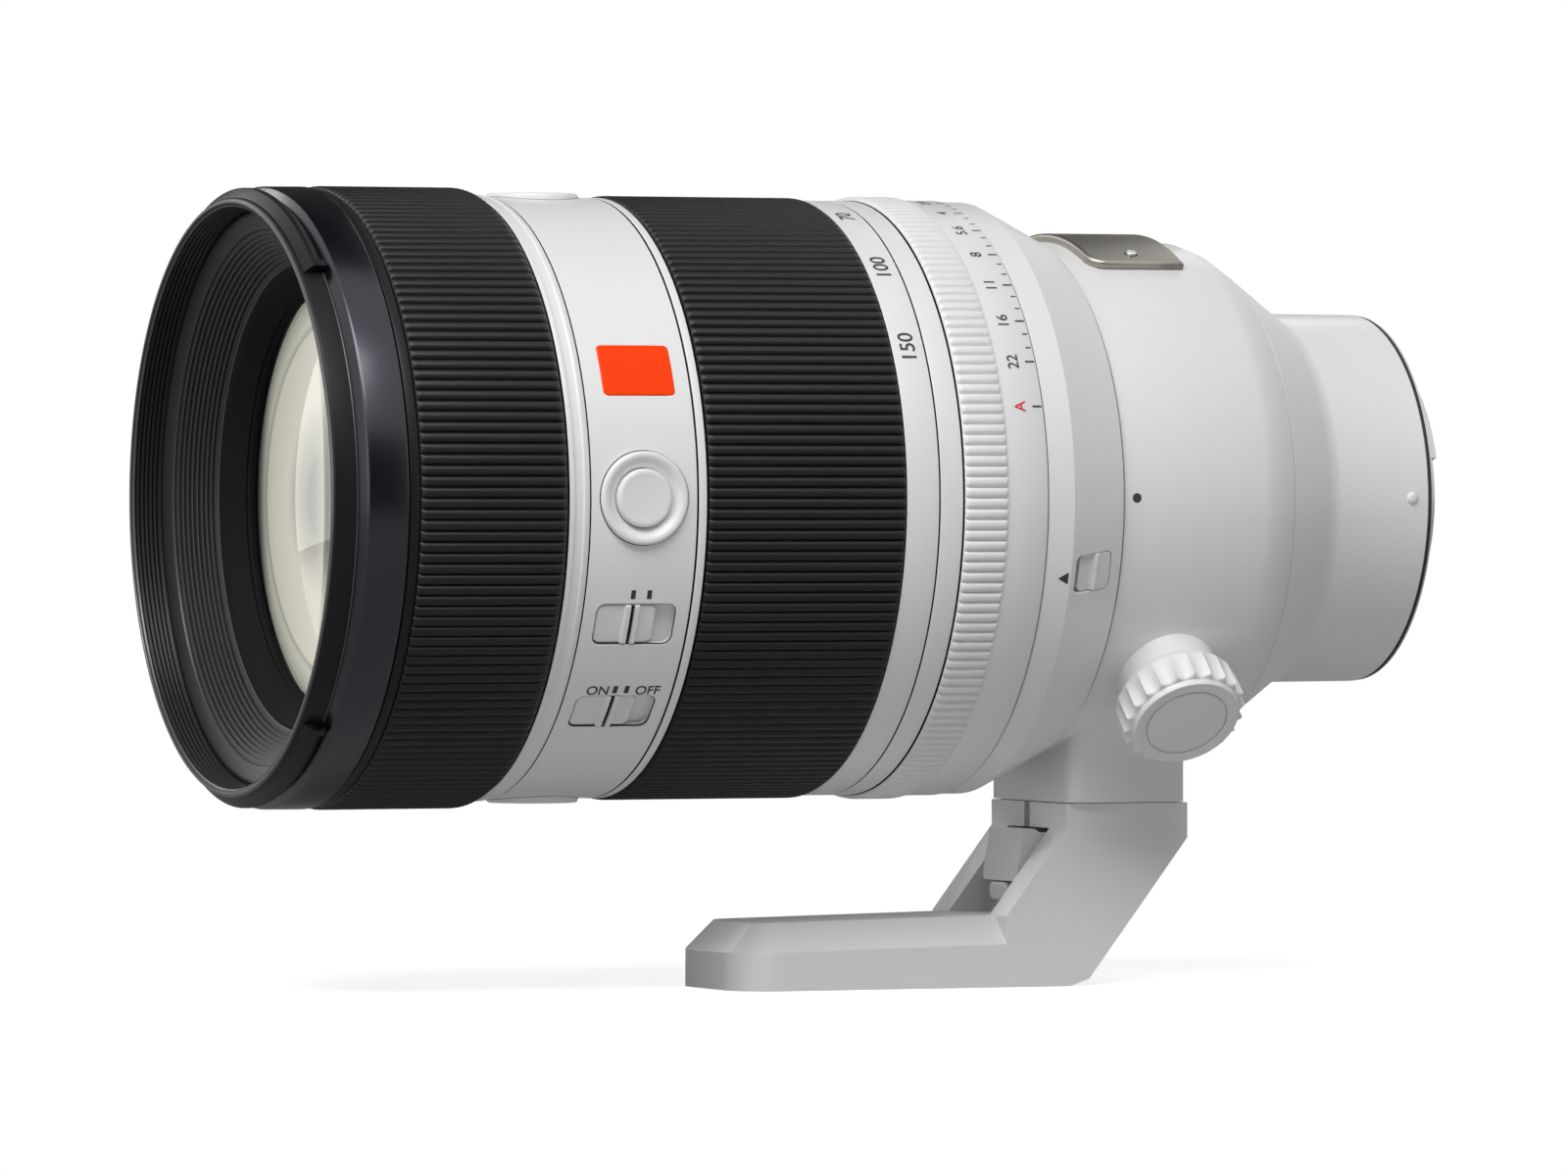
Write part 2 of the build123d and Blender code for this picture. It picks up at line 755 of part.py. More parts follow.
# Mount barrel: fixed rear cone and sleeve
sleeve_wall = 1.8
sleeve_inner_radius = sleeve_radius - sleeve_wall
sleeve_fillet = 4.0
mount_shoulder_length = 2.0
bead_clock_angle = 90.0
bead_radius = 1.05
bead_from_rear = 3.9
bead_x = sleeve_rear_x - bead_from_rear
bead_bed_radius = sleeve_radius - edge
screw_circle_drop = 4.2
mount_rim_width = 2.4
mount_rim_length = 4.4
screw_circle_radius = sleeve_radius - screw_circle_drop
mount_rim_radius = screw_circle_radius - mount_rim_width
screw_count = 4
mount_screw_angle = 45
screw_shank_radius = 0.8
screw_head_radius = 1.4
screw_length = 4.2
mount_rim_x = sleeve_rear_x - mount_rim_length

with BuildPart() as mount_barrel:
    with BuildSketch(Plane.XZ):
        with BuildLine():
            Polyline(
                (cone_front_x, journal_inner_radius),
                (cone_front_x, rear_cone_radius),
                (sleeve_front_x, sleeve_radius),
                (sleeve_rear_x, sleeve_radius),
                (sleeve_rear_x, mount_rim_radius),
                (mount_rim_x, mount_rim_radius),
                (mount_rim_x, sleeve_inner_radius),
                (sleeve_front_x, sleeve_inner_radius),
                (cone_front_x + mount_shoulder_length, journal_inner_radius),
                close=True,
            )
        make_face()
        fillet(vertices().sort_by_distance((sleeve_front_x, sleeve_radius, 0))[0], sleeve_fillet)
    revolve(axis=Axis.X)
    with BuildSketch(radial_plane(bead_x, bead_clock_angle, bead_bed_radius)):
        Circle(bead_radius)
    extrude(amount=overrun, mode=Mode.SUBTRACT)
    with BuildSketch(Plane.YZ.offset(sleeve_rear_x - screw_length)):
        with PolarLocations(screw_circle_radius, screw_count, start_angle=mount_screw_angle):
            Circle(screw_shank_radius + fit)
    extrude(amount=screw_length, mode=Mode.SUBTRACT)
save(mount_barrel, "mount_barrel")

with BuildPart() as mount_index_bead:
    with BuildSketch(radial_plane(bead_x, bead_clock_angle, bead_bed_radius)):
        Circle(bead_radius - fit)
    extrude(amount=edge + fit)
save(mount_index_bead, "mount_index_bead")

# Tripod collar: ring with a lower pad, a dovetail rail for the foot and a bore for the clamp
collar_lip_fall = 1.3
pad_width = 34.0
pad_end_margin = 4.2
pad_depth = 7.8
pad_length = collar_width - pad_end_margin
pad_bottom_z = -collar_radius - pad_depth
pad_corner = 3.0
pad_blend = 9.0
rail_width = 16.0
rail_flare = 2.0
rail_height = 2.7
rail_setback_length = 3.2
rail_end_margin = 2.6
rail_length = pad_length - rail_setback_length - rail_end_margin
knob_from_bottom_angle = 47.0
knob_clock_angle = 180 - knob_from_bottom_angle
screw_radius = 3.0
shoe_radius = 4.5
shoe_thickness = 3.2
shoe_travel = 1.0
knob_boss_radius = 8.6
knob_standoff = 3.6
knob_base_radius = collar_radius + knob_standoff
collar_inner_radius = collar_journal_radius + running
shoe_face_radius = collar_inner_radius + fit
shoe_pocket_radius = shoe_face_radius + shoe_thickness + shoe_travel + sliding
pad_front_x = collar_mid_x - pad_length / 2
rail_front_x = pad_front_x + rail_setback_length
rail_rear_x = rail_front_x + rail_length


def dovetail(front, rear, top, gap):
    """Solid of the foot's rail, wider at its bottom, with a gap added on every flank."""
    half_top = rail_width / 2 + gap
    half_bottom = half_top + rail_flare
    bottom = top - rail_height - gap
    with BuildPart() as rail:
        with BuildSketch(Plane.YZ.offset(front)):
            with BuildLine():
                Polyline(
                    (-half_top, top),
                    (half_top, top),
                    (half_bottom, bottom),
                    (-half_bottom, bottom),
                    close=True,
                )
            make_face()
        extrude(amount=rear - front)
    return rail.part


with BuildPart() as clamp_bore:
    with BuildSketch(radial_plane(collar_mid_x, knob_clock_angle, collar_inner_radius - overrun)):
        Circle(screw_radius + fit)
    extrude(amount=knob_base_radius - collar_inner_radius + 2 * overrun)
    with BuildSketch(radial_plane(collar_mid_x, knob_clock_angle, collar_inner_radius - overrun)):
        Circle(shoe_radius + sliding)
    extrude(amount=shoe_pocket_radius - collar_inner_radius + overrun)

with BuildPart() as collar_pad:
    with BuildSketch(Plane.YZ.offset(pad_front_x)):
        with BuildLine():
            pad_arc_end = sqrt(collar_radius**2 - (pad_width / 2) ** 2)
            Polyline(
                (-pad_width / 2, -pad_arc_end + overrun),
                (-pad_width / 2, pad_bottom_z),
                (pad_width / 2, pad_bottom_z),
                (pad_width / 2, -pad_arc_end + overrun),
                close=True,
            )
        make_face()
        Circle(collar_radius)
        fillet([v for v in vertices() if abs(v.Y + pad_arc_end) < edge], pad_blend)
        Circle(collar_inner_radius + overrun / 2, mode=Mode.SUBTRACT)
    extrude(amount=pad_length)
    pad_edges = [e for e in edges().filter_by(Axis.Z) if abs(e.center().Y) > pad_width / 2 - edge]
    fillet(pad_edges, pad_corner)
    add(dovetail(rail_front_x, rail_rear_x, pad_bottom_z, 0))
    add(clamp_bore.part, mode=Mode.SUBTRACT)

with BuildPart() as collar_ring:
    revolve(
        profile(
            (collar_front_x, collar_inner_radius),
            (collar_front_x, collar_radius - edge),
            (collar_front_x + edge, collar_radius),
            (collar_edge_x, collar_radius),
            (collar_edge_x + collar_lip_length / 2, collar_radius - collar_lip_fall),
            (collar_rear_x, collar_lip_radius),
            (collar_rear_x, collar_inner_radius),
        ),
        axis=Axis.X,
    )
    with BuildSketch(radial_plane(collar_mid_x, knob_clock_angle, collar_radius - overrun)):
        Circle(knob_boss_radius)
    extrude(amount=knob_base_radius - body_gap - collar_radius + overrun)
    add(clamp_bore.part, mode=Mode.SUBTRACT)
    add(collar_pad.part)
save(collar_ring, "collar_ring")

# Metal plate screwed on top of the collar
plate_rear_margin = 4.7
plate_half_angle = 27.8
plate_thickness = 1.45
plate_corner = 3.0
plate_rim = 0.6
plate_front_from_edge = 4.3
plate_length = collar_width - plate_front_from_edge - plate_rear_margin
plate_screw_radius = 1.05
plate_screw_angle = 23.7
plate_screw_rise = 0.45
plate_front_x = collar_front_x + plate_front_from_edge
plate_mid_x = plate_front_x + plate_length / 2
plate_radius = collar_radius + plate_thickness

with BuildPart() as collar_plate:
    revolve(
        band(
            plate_front_x,
            plate_front_x + plate_length,
            collar_radius,
            plate_radius,
            clock=-plate_half_angle,
        ),
        axis=Axis.X,
        revolution_arc=2 * plate_half_angle,
    )
    corner_edges = [
        e
        for e in edges().filter_by(GeomType.LINE)
        if abs(e.length - plate_thickness) < plate_thickness / 4 and e.center().X < plate_mid_x
    ]
    fillet(corner_edges, plate_corner)
    outer_face = faces().sort_by(SortBy.AREA)[-1]
    fillet(outer_face.edges(), plate_rim)
    for screw_clock in (plate_screw_angle, -plate_screw_angle):
        with BuildSketch(radial_plane(plate_mid_x, screw_clock)):
            Circle(plate_screw_radius + fit)
        extrude(amount=plate_radius + overrun, mode=Mode.SUBTRACT)
save(collar_plate, "collar_plate")

with BuildPart() as collar_plate_screws:
    for screw_clock in (plate_screw_angle, -plate_screw_angle):
        with BuildSketch(radial_plane(plate_mid_x, screw_clock, collar_radius + fit)):
            Circle(plate_screw_radius)
        extrude(amount=plate_thickness + plate_screw_rise - fit, taper=6)
save(collar_plate_screws, "collar_plate_screws")

# Clamp: threaded shoe that climbs a captive screw, turned by the scalloped knob
knob_radius = 10.5
knob_height = 7.9
knob_scallop_count = 24
scallop_radius = 0.85
scallop_share = 0.55
knob_rim_radius = 9.5
knob_recess_radius = 7.0
knob_recess_depth = 0.5
knob_rim_height = 1.0
knob_waist_height = 1.2
knob_web = 2.0
knob_top_radius = knob_base_radius + knob_height
screw_top_radius = knob_top_radius - knob_recess_depth - knob_web

with BuildPart() as clamp_shoe:
    with BuildSketch(radial_plane(collar_mid_x, knob_clock_angle, shoe_face_radius)):
        Circle(shoe_radius)
        Circle(screw_radius, mode=Mode.SUBTRACT)
    extrude(amount=shoe_thickness)
save(clamp_shoe, "clamp_shoe")

with BuildPart() as clamp_screw:
    with BuildSketch(radial_plane(collar_mid_x, knob_clock_angle, shoe_face_radius + body_gap)):
        Circle(screw_radius - fit)
    extrude(amount=screw_top_radius - shoe_face_radius - body_gap)
save(clamp_screw, "clamp_screw")

with BuildPart() as clamp_knob:
    knob_plane = radial_plane(collar_mid_x, knob_clock_angle, knob_base_radius)
    with BuildSketch(knob_plane):
        Circle(knob_rim_radius)
    extrude(amount=knob_height)
    with BuildSketch(knob_plane.offset(knob_waist_height)):
        Circle(knob_radius)
        with PolarLocations(knob_radius + scallop_radius * scallop_share, knob_scallop_count):
            Circle(scallop_radius, mode=Mode.SUBTRACT)
    extrude(amount=knob_height - knob_waist_height - knob_rim_height)
    with BuildSketch(knob_plane.offset(knob_height - knob_recess_depth)):
        Circle(knob_recess_radius)
    extrude(amount=knob_recess_depth, mode=Mode.SUBTRACT)
    with BuildSketch(knob_plane):
        Circle(screw_radius)
    extrude(amount=screw_top_radius - knob_base_radius, mode=Mode.SUBTRACT)
save(clamp_knob, "clamp_knob")

with BuildPart() as knob_cap:
    with BuildSketch(knob_plane.offset(knob_height - knob_recess_depth)):
        Circle(knob_recess_radius - sliding)
    extrude(amount=knob_recess_depth - fit)
save(knob_cap, "knob_cap")

# Foot: cast arm and slanted upright with a pocket between two side walls, and split jaws on top
foot_width = 31.0
foot_height = 30.6
arm_height = 11.9
foot_sole_z = pad_bottom_z - foot_height
arm_top_z = foot_sole_z + arm_height
arm_fall = 0.9
arm_front_from_pad = 58.6
arm_chamfer = 4.7
toe_corner = 8.0
upright_overhang = 0.4
jaw_depth = 4.4
upright_top_length = pad_length + upright_overhang
jaw_bottom_z = pad_bottom_z - jaw_depth
upright_drop = 5.9
heel_from_pad = 0.6
heel_run = 3.6
heel_rise = 1.2
front_slant = 10.9
pocket_width = 17.0
pocket_depth = 7.6
jaw_slit_width = 2.2
jaw_slit_offset = 0.8
hinge_from_pad = 0.9
hinge_drop = 2.4
pin_radius = 0.9
pin_length = 25.0
lock_button_size = (7.0, 3.0)
lock_button_corner = 1.2
lock_button_drop = 10.7
lock_button_z = jaw_bottom_z - lock_button_drop
lock_button_from_pad = 5.8
lock_button_length = 7.8
lock_button_travel = 1.2
bush_radius = 5.0
bush_thread_radius = 3.175
bush_length = 8.0
bush_from_pad = 29.8
foot_top_z = pad_bottom_z - sliding
arm_front_x = pad_front_x - arm_front_from_pad
upright_rear_x = pad_front_x + upright_top_length
upright_foot_x = pad_front_x - front_slant
heel_x = pad_front_x + heel_from_pad
hinge_x = pad_front_x + hinge_from_pad
hinge_z = jaw_bottom_z - hinge_drop
bush_x = pad_front_x - bush_from_pad
lock_button_rear_x = pad_front_x - lock_button_from_pad + lock_button_length

with BuildPart() as foot:
    with BuildSketch(Plane.XZ.offset(-foot_width / 2)):
        with BuildLine():
            Polyline(
                (arm_front_x, foot_sole_z),
                (arm_front_x, arm_top_z - arm_fall),
                (upright_foot_x, arm_top_z),
                (heel_x, arm_top_z),
                (heel_x, foot_sole_z),
                close=True,
            )
        make_face()
    extrude(amount=foot_width)
    fillet(edges().filter_by(Axis.Z).group_by(Axis.X)[0], toe_corner)
    slope = [f for f in faces() if f.center().Z > arm_top_z - arm_fall and f.center().X < upright_foot_x][0]
    chamfer([e for e in slope.edges() if e.center().X < upright_foot_x - edge], arm_chamfer)
    with BuildSketch(Plane.XZ.offset(-foot_width / 2)):
        with BuildLine():
            Polyline(
                (pad_front_x, foot_top_z),
                (upright_rear_x, foot_top_z),
                (upright_rear_x, foot_top_z - upright_drop),
                (heel_x + heel_run, foot_sole_z + heel_rise),
                (heel_x, foot_sole_z),
                (upright_foot_x, foot_sole_z),
                (upright_foot_x, arm_top_z),
                (pad_front_x, jaw_bottom_z),
                close=True,
            )
        make_face()
    extrude(amount=foot_width)
    with BuildSketch(Plane.XZ.offset(-pocket_width / 2)):
        with BuildLine():
            Polyline(
                (pad_front_x - overrun, jaw_bottom_z),
                (pad_front_x + pocket_depth, jaw_bottom_z),
                (upright_foot_x + pocket_depth, arm_top_z),
                (upright_foot_x - overrun, arm_top_z),
                close=True,
            )
        make_face()
    extrude(amount=pocket_width, mode=Mode.SUBTRACT)
    add(
        dovetail(rail_front_x - sliding, upright_rear_x + overrun, foot_top_z + sliding, sliding),
        mode=Mode.SUBTRACT,
    )
    with BuildSketch(Plane.XY.offset(jaw_bottom_z)):
        with Locations((pad_front_x, jaw_slit_offset)):
            Rectangle(2 * rail_setback_length, jaw_slit_width)
    extrude(amount=foot_top_z - jaw_bottom_z, mode=Mode.SUBTRACT)
    with BuildSketch(Plane.XZ.offset(-pin_length / 2)):
        with Locations((hinge_x, hinge_z)):
            Circle(pin_radius + fit)
    extrude(amount=pin_length, mode=Mode.SUBTRACT)
    with BuildSketch(Plane.YZ.offset(upright_foot_x)):
        with Locations((0, lock_button_z)):
            RectangleRounded(
                lock_button_size[0] + 2 * sliding,
                lock_button_size[1] + 2 * sliding,
                lock_button_corner + sliding,
            )
    extrude(amount=lock_button_rear_x + lock_button_travel + sliding - upright_foot_x, mode=Mode.SUBTRACT)
    with BuildSketch(Plane.XY.offset(foot_sole_z)):
        with Locations((bush_x, 0)):
            Circle(bush_radius + fit)
    extrude(amount=bush_length + fit, mode=Mode.SUBTRACT)
save(foot, "foot")

with BuildPart() as tripod_bush:
    with BuildSketch(Plane.XY.offset(foot_sole_z)):
        with Locations((bush_x, 0)):
            Circle(bush_radius)
            Circle(bush_thread_radius, mode=Mode.SUBTRACT)
    extrude(amount=bush_length)
save(tripod_bush, "tripod_bush")

# Foot lever on its pin, and the lock button below it
lever_width = 14.0
lever_thickness = 3.0
lever_top_from_pad = 4.1
lever_foot_from_pad = 5.5
lever_height = 8.8
lever_lug_radius = 1.6
lever_neck = 2.2
lever_corner = 1.2
lever_top_z = jaw_bottom_z - sliding
lever_foot_z = lever_top_z - lever_height

with BuildPart() as foot_lever:
    with BuildSketch(Plane.XZ.offset(-lever_width / 2)):
        with BuildLine():
            Polyline(
                (pad_front_x - lever_top_from_pad, lever_top_z),
                (pad_front_x - lever_foot_from_pad, lever_foot_z),
                (pad_front_x - lever_foot_from_pad + lever_thickness, lever_foot_z),
                (pad_front_x - lever_top_from_pad + lever_neck, hinge_z - lever_lug_radius),
                (hinge_x, hinge_z - lever_lug_radius),
                (hinge_x, hinge_z + lever_lug_radius),
                (pad_front_x - lever_top_from_pad + lever_thickness, hinge_z + lever_lug_radius),
                (pad_front_x - lever_top_from_pad + lever_neck, lever_top_z),
                close=True,
            )
        make_face()
        with Locations((hinge_x, hinge_z)):
            Circle(lever_lug_radius)
            Circle(pin_radius + fit, mode=Mode.SUBTRACT)
    extrude(amount=lever_width)
    lower_corners = edges().filter_by(Axis.X).group_by(Axis.Z)[0]
    fillet(lower_corners, lever_corner)
save(foot_lever, "foot_lever")

with BuildPart() as lever_pin:
    with BuildSketch(Plane.XZ.offset(-pin_length / 2 + fit)):
        with Locations((hinge_x, hinge_z)):
            Circle(pin_radius)
    extrude(amount=pin_length - 2 * fit)
save(lever_pin, "lever_pin")

with BuildPart() as foot_lock_button:
    with BuildSketch(Plane.YZ.offset(lock_button_rear_x - lock_button_length)):
        with Locations((0, lock_button_z)):
            RectangleRounded(*lock_button_size, lock_button_corner)
    extrude(amount=lock_button_length)
    fillet(faces().sort_by(Axis.X)[0].edges(), edge)
save(foot_lock_button, "foot_lock_button")

# Bayonet mount: seal, flange with three lugs, its screws and the contact block
seal_depth = 0.5
seal_width = 1.0
seal_step = 0.2
lug_clearance = 0.1
lug_height = 1.6
bayonet_wall = 1.6
bayonet_length = 4.2
seal_radius = sleeve_radius - seal_step
lug_radius = mount_rim_radius - lug_clearance
bayonet_radius = lug_radius - lug_height
bayonet_inner_radius = bayonet_radius - bayonet_wall
lug_thickness = 1.6
lug_angle = 54
lug_count = 3
first_lug_angle = 20
contact_block_height = 2.6
contact_inner_radius = bayonet_inner_radius - contact_block_height
contact_half_angle = 33
contact_setback = 0.8
contact_depth = 6.0
rear_tube_wall = 1.5

with BuildPart() as mount_seal:
    revolve(
        band(sleeve_rear_x, sleeve_rear_x + seal_depth - fit, seal_radius - seal_width, seal_radius),
        axis=Axis.X,
    )
save(mount_seal, "mount_seal")

with BuildPart() as mount_flange:
    revolve(
        profile(
            (sleeve_rear_x, bayonet_inner_radius),
            (sleeve_rear_x, seal_radius - seal_width - fit),
            (sleeve_rear_x + seal_depth, seal_radius - seal_width - fit),
            (sleeve_rear_x + seal_depth, seal_radius - fit),
            (0, seal_radius - fit),
            (0, bayonet_radius),
            (bayonet_length, bayonet_radius),
            (bayonet_length, bayonet_inner_radius),
        ),
        axis=Axis.X,
    )
    for lug in range(lug_count):
        revolve(
            band(
                bayonet_length - lug_thickness,
                bayonet_length,
                bayonet_inner_radius + edge,
                lug_radius,
                clock=first_lug_angle + 360 * lug / lug_count,
            ),
            axis=Axis.X,
            revolution_arc=lug_angle,
        )
    with BuildSketch(Plane.YZ.offset(sleeve_rear_x)):
        with PolarLocations(screw_circle_radius, screw_count, start_angle=mount_screw_angle):
            Circle(screw_head_radius + fit)
    extrude(amount=flange_thickness + overrun, mode=Mode.SUBTRACT)
save(mount_flange, "mount_flange")

with BuildPart() as mount_screws:
    with BuildSketch(Plane.YZ.offset(sleeve_rear_x)):
        with PolarLocations(screw_circle_radius, screw_count, start_angle=mount_screw_angle):
            Circle(screw_head_radius)
    extrude(amount=flange_thickness - fit)
    with BuildSketch(Plane.YZ.offset(sleeve_rear_x)):
        with PolarLocations(screw_circle_radius, screw_count, start_angle=mount_screw_angle):
            Circle(screw_shank_radius)
    extrude(amount=-screw_length + fit)
save(mount_screws, "mount_screws")

with BuildPart() as contact_block:
    revolve(
        band(
            bayonet_length - contact_setback - contact_depth,
            bayonet_length - contact_setback,
            contact_inner_radius,
            bayonet_inner_radius - fit,
            clock=180 - contact_half_angle,
        ),
        axis=Axis.X,
        revolution_arc=2 * contact_half_angle,
    )
save(contact_block, "contact_block")

# Rear cell and rear glass
rear_cell_front_from_flange = 19.0
rear_tube_rear = 2.6
rear_glass_radius = contact_inner_radius - fit - rear_tube_wall
rear_glass_edge = 4.0
rear_glass_from_flange = 3.6
rear_glass_front_bulge = 1.6
rear_glass_rear_bulge = 2.2
rear_lip = 1.0
rear_lip_length = 0.8
rear_cell_radius = sleeve_inner_radius - fit
rear_glass_front_x = -rear_glass_from_flange - rear_glass_edge
rear_lip_x = -rear_glass_from_flange + edge

with BuildPart() as rear_cell:
    revolve(
        profile(
            (-rear_cell_front_from_flange, rear_cell_radius - rear_tube_wall),
            (-rear_cell_front_from_flange, rear_cell_radius),
            (mount_rim_x - fit, rear_cell_radius),
            (mount_rim_x - fit, contact_inner_radius - fit),
            (rear_tube_rear, contact_inner_radius - fit),
            (rear_tube_rear, rear_glass_radius + edge),
            (rear_lip_x + rear_lip_length, rear_glass_radius - rear_lip),
            (rear_lip_x, rear_glass_radius - rear_lip),
            (rear_lip_x, rear_glass_radius + fit),
            (mount_rim_x - fit - rear_tube_wall, rear_glass_radius + fit),
            (mount_rim_x - fit - rear_tube_wall, rear_cell_radius - rear_tube_wall),
        ),
        axis=Axis.X,
    )
save(rear_cell, "rear_cell")

with BuildPart() as rear_element:
    revolve(
        lens_profile(
            rear_glass_front_x,
            -rear_glass_from_flange,
            rear_glass_radius,
            rear_glass_front_bulge,
            rear_glass_rear_bulge,
        ),
        axis=Axis.X,
    )
save(rear_element, "rear_element")

# Main board: ring-shaped circuit board behind the collar
board_thickness = 1.2
board_width = 8.4
board_inner_radius = journal_inner_radius - board_width

with BuildPart() as main_board:
    board_x = cone_front_x + edge
    revolve(
        band(board_x, board_x + board_thickness, board_inner_radius, journal_inner_radius - fit),
        axis=Axis.X,
    )
save(main_board, "main_board")

# Variator: zoom carriage that slides inside the cam barrel, and its glass
variator_travel = 12.0
variator_length = 10.0
variator_from_cam_front = 3.0
variator_web = 11.2
variator_glass_edge = 5.0
variator_bulge = 1.5
carriage_wall = 1.6
variator_x = cam_front_x + variator_from_cam_front
variator_radius = cam_inner_radius - running
variator_glass_radius = variator_radius - carriage_wall - variator_web
variator_web_x = variator_x + (variator_length - variator_glass_edge) / 2

with BuildPart() as variator_carriage:
    revolve(
        profile(
            (variator_x, variator_radius - carriage_wall),
            (variator_x, variator_radius),
            (variator_x + variator_length, variator_radius),
            (variator_x + variator_length, variator_radius - carriage_wall),
            (variator_web_x + variator_glass_edge, variator_radius - carriage_wall),
            (variator_web_x + variator_glass_edge, variator_glass_radius + fit),
            (variator_web_x, variator_glass_radius + fit),
            (variator_web_x, variator_radius - carriage_wall),
        ),
        axis=Axis.X,
    )
save(variator_carriage, "variator_carriage")

with BuildPart() as variator_glass:
    revolve(
        lens_profile(
            variator_web_x,
            variator_web_x + variator_glass_edge,
            variator_glass_radius,
            -variator_bulge,
            -variator_bulge,
        ),
        axis=Axis.X,
    )
save(variator_glass, "variator_glass")

# Iris: housing with a guide tube behind it, drive ring and seven blades in thin layers
blade_count = 7
blade_thickness = 0.2
blade_pitch = 0.3
blade_margin = 3.55
blade_width = 15.0
blade_pivot_setback = 7.5
blade_start_angle = 82
blade_sweep_angle = 78
blade_swing_angle = 41.0
blade_hole_radius = 0.6
drive_arm = 6.0
drive_thickness = 1.2
drive_width = 6.57
drive_slot = (3.0, 1.5)
iris_wall = 1.4
iris_plate = 1.0
iris_from_aperture = 3.2
guide_step = 9.55
guide_wall = 1.6
guide_length = 33.0
iris_radius = main_barrel_inner_radius - fit
blade_outer_radius = iris_radius - blade_margin
blade_open_radius = blade_outer_radius - blade_width
blade_pivot_radius = blade_outer_radius - blade_pivot_setback
drive_inner_radius = iris_radius - iris_wall - running - drive_width
guide_radius = iris_radius - guide_step
guide_inner_radius = guide_radius - guide_wall
iris_x = aperture_front_x - iris_from_aperture
blades_x = iris_x + iris_plate + body_gap
drive_x = blades_x + blade_count * blade_pitch
iris_rear_x = drive_x + drive_thickness + body_gap
iris_opening_radius = blade_open_radius + edge
pin_radial = blade_pivot_radius + drive_arm * cos(radians(blade_swing_angle / 2))
pin_tangential = drive_arm * sin(radians(blade_swing_angle / 2))

with BuildPart() as iris_housing:
    revolve(
        profile(
            (iris_x, iris_opening_radius),
            (iris_x, iris_radius),
            (iris_rear_x + iris_plate, iris_radius),
            (iris_rear_x + iris_plate, guide_radius),
            (iris_rear_x + guide_length, guide_radius),
            (iris_rear_x + guide_length, guide_inner_radius),
            (iris_rear_x, guide_inner_radius),
            (iris_rear_x, iris_radius - iris_wall),
            (iris_x + iris_plate, iris_radius - iris_wall),
            (iris_x + iris_plate, iris_opening_radius),
        ),
        axis=Axis.X,
    )
save(iris_housing, "iris_housing")

with BuildPart() as iris_drive_ring:
    with BuildSketch(Plane.YZ.offset(drive_x)):
        Circle(iris_radius - iris_wall - running)
        Circle(drive_inner_radius, mode=Mode.SUBTRACT)
        for blade in range(blade_count):
            with Locations(Location((0, 0), 360 * blade / blade_count)):
                with Locations((pin_tangential, pin_radial)):
                    Rectangle(drive_slot[1], drive_slot[0], mode=Mode.SUBTRACT)
    extrude(amount=drive_thickness)
save(iris_drive_ring, "iris_drive_ring")

for blade in range(blade_count):
    blade_plane = Plane.YZ.offset(blades_x + blade * blade_pitch).rotated((360 * blade / blade_count, 0, 0))
    with BuildPart() as iris_blade:
        with BuildSketch(blade_plane):
            with BuildLine():
                outer = CenterArc((0, 0), blade_outer_radius, blade_start_angle, blade_sweep_angle)
                inner = CenterArc((0, 0), blade_open_radius + edge, blade_start_angle, blade_sweep_angle)
                Line(outer @ 0, inner @ 0)
                Line(outer @ 1, inner @ 1)
            make_face()
            fillet(vertices(), lever_corner)
            with Locations((0, blade_pivot_radius), (pin_tangential, pin_radial)):
                Circle(blade_hole_radius, mode=Mode.SUBTRACT)
        extrude(amount=blade_thickness)
    save(iris_blade, f"iris_blade_{blade + 1}")

# Focus group: carriage that slides in the guide tube, and its glass
focus_carriage_length = 14.0
focus_carriage_from_tube = 6.0
focus_web = 1.72
focus_glass_edge = 4.0
focus_glass_bulge = 1.8
focus_travel = 10.0
focus_carriage_radius = guide_inner_radius - running
focus_glass_radius = focus_carriage_radius - carriage_wall - focus_web
focus_carriage_x = iris_rear_x + focus_carriage_from_tube
focus_glass_x = focus_carriage_x + (focus_carriage_length - focus_glass_edge) / 2

with BuildPart() as focus_carriage:
    revolve(
        profile(
            (focus_carriage_x, focus_carriage_radius - carriage_wall),
            (focus_carriage_x, focus_carriage_radius),
            (focus_carriage_x + focus_carriage_length, focus_carriage_radius),
            (focus_carriage_x + focus_carriage_length, focus_carriage_radius - carriage_wall),
            (focus_glass_x + focus_glass_edge, focus_carriage_radius - carriage_wall),
            (focus_glass_x + focus_glass_edge, focus_glass_radius + fit),
            (focus_glass_x, focus_glass_radius + fit),
            (focus_glass_x, focus_carriage_radius - carriage_wall),
        ),
        axis=Axis.X,
    )
save(focus_carriage, "focus_carriage")

with BuildPart() as focus_glass:
    revolve(
        lens_profile(
            focus_glass_x,
            focus_glass_x + focus_glass_edge,
            focus_glass_radius,
            focus_glass_bulge,
            focus_glass_bulge,
        ),
        axis=Axis.X,
    )
save(focus_glass, "focus_glass")
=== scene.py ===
import math

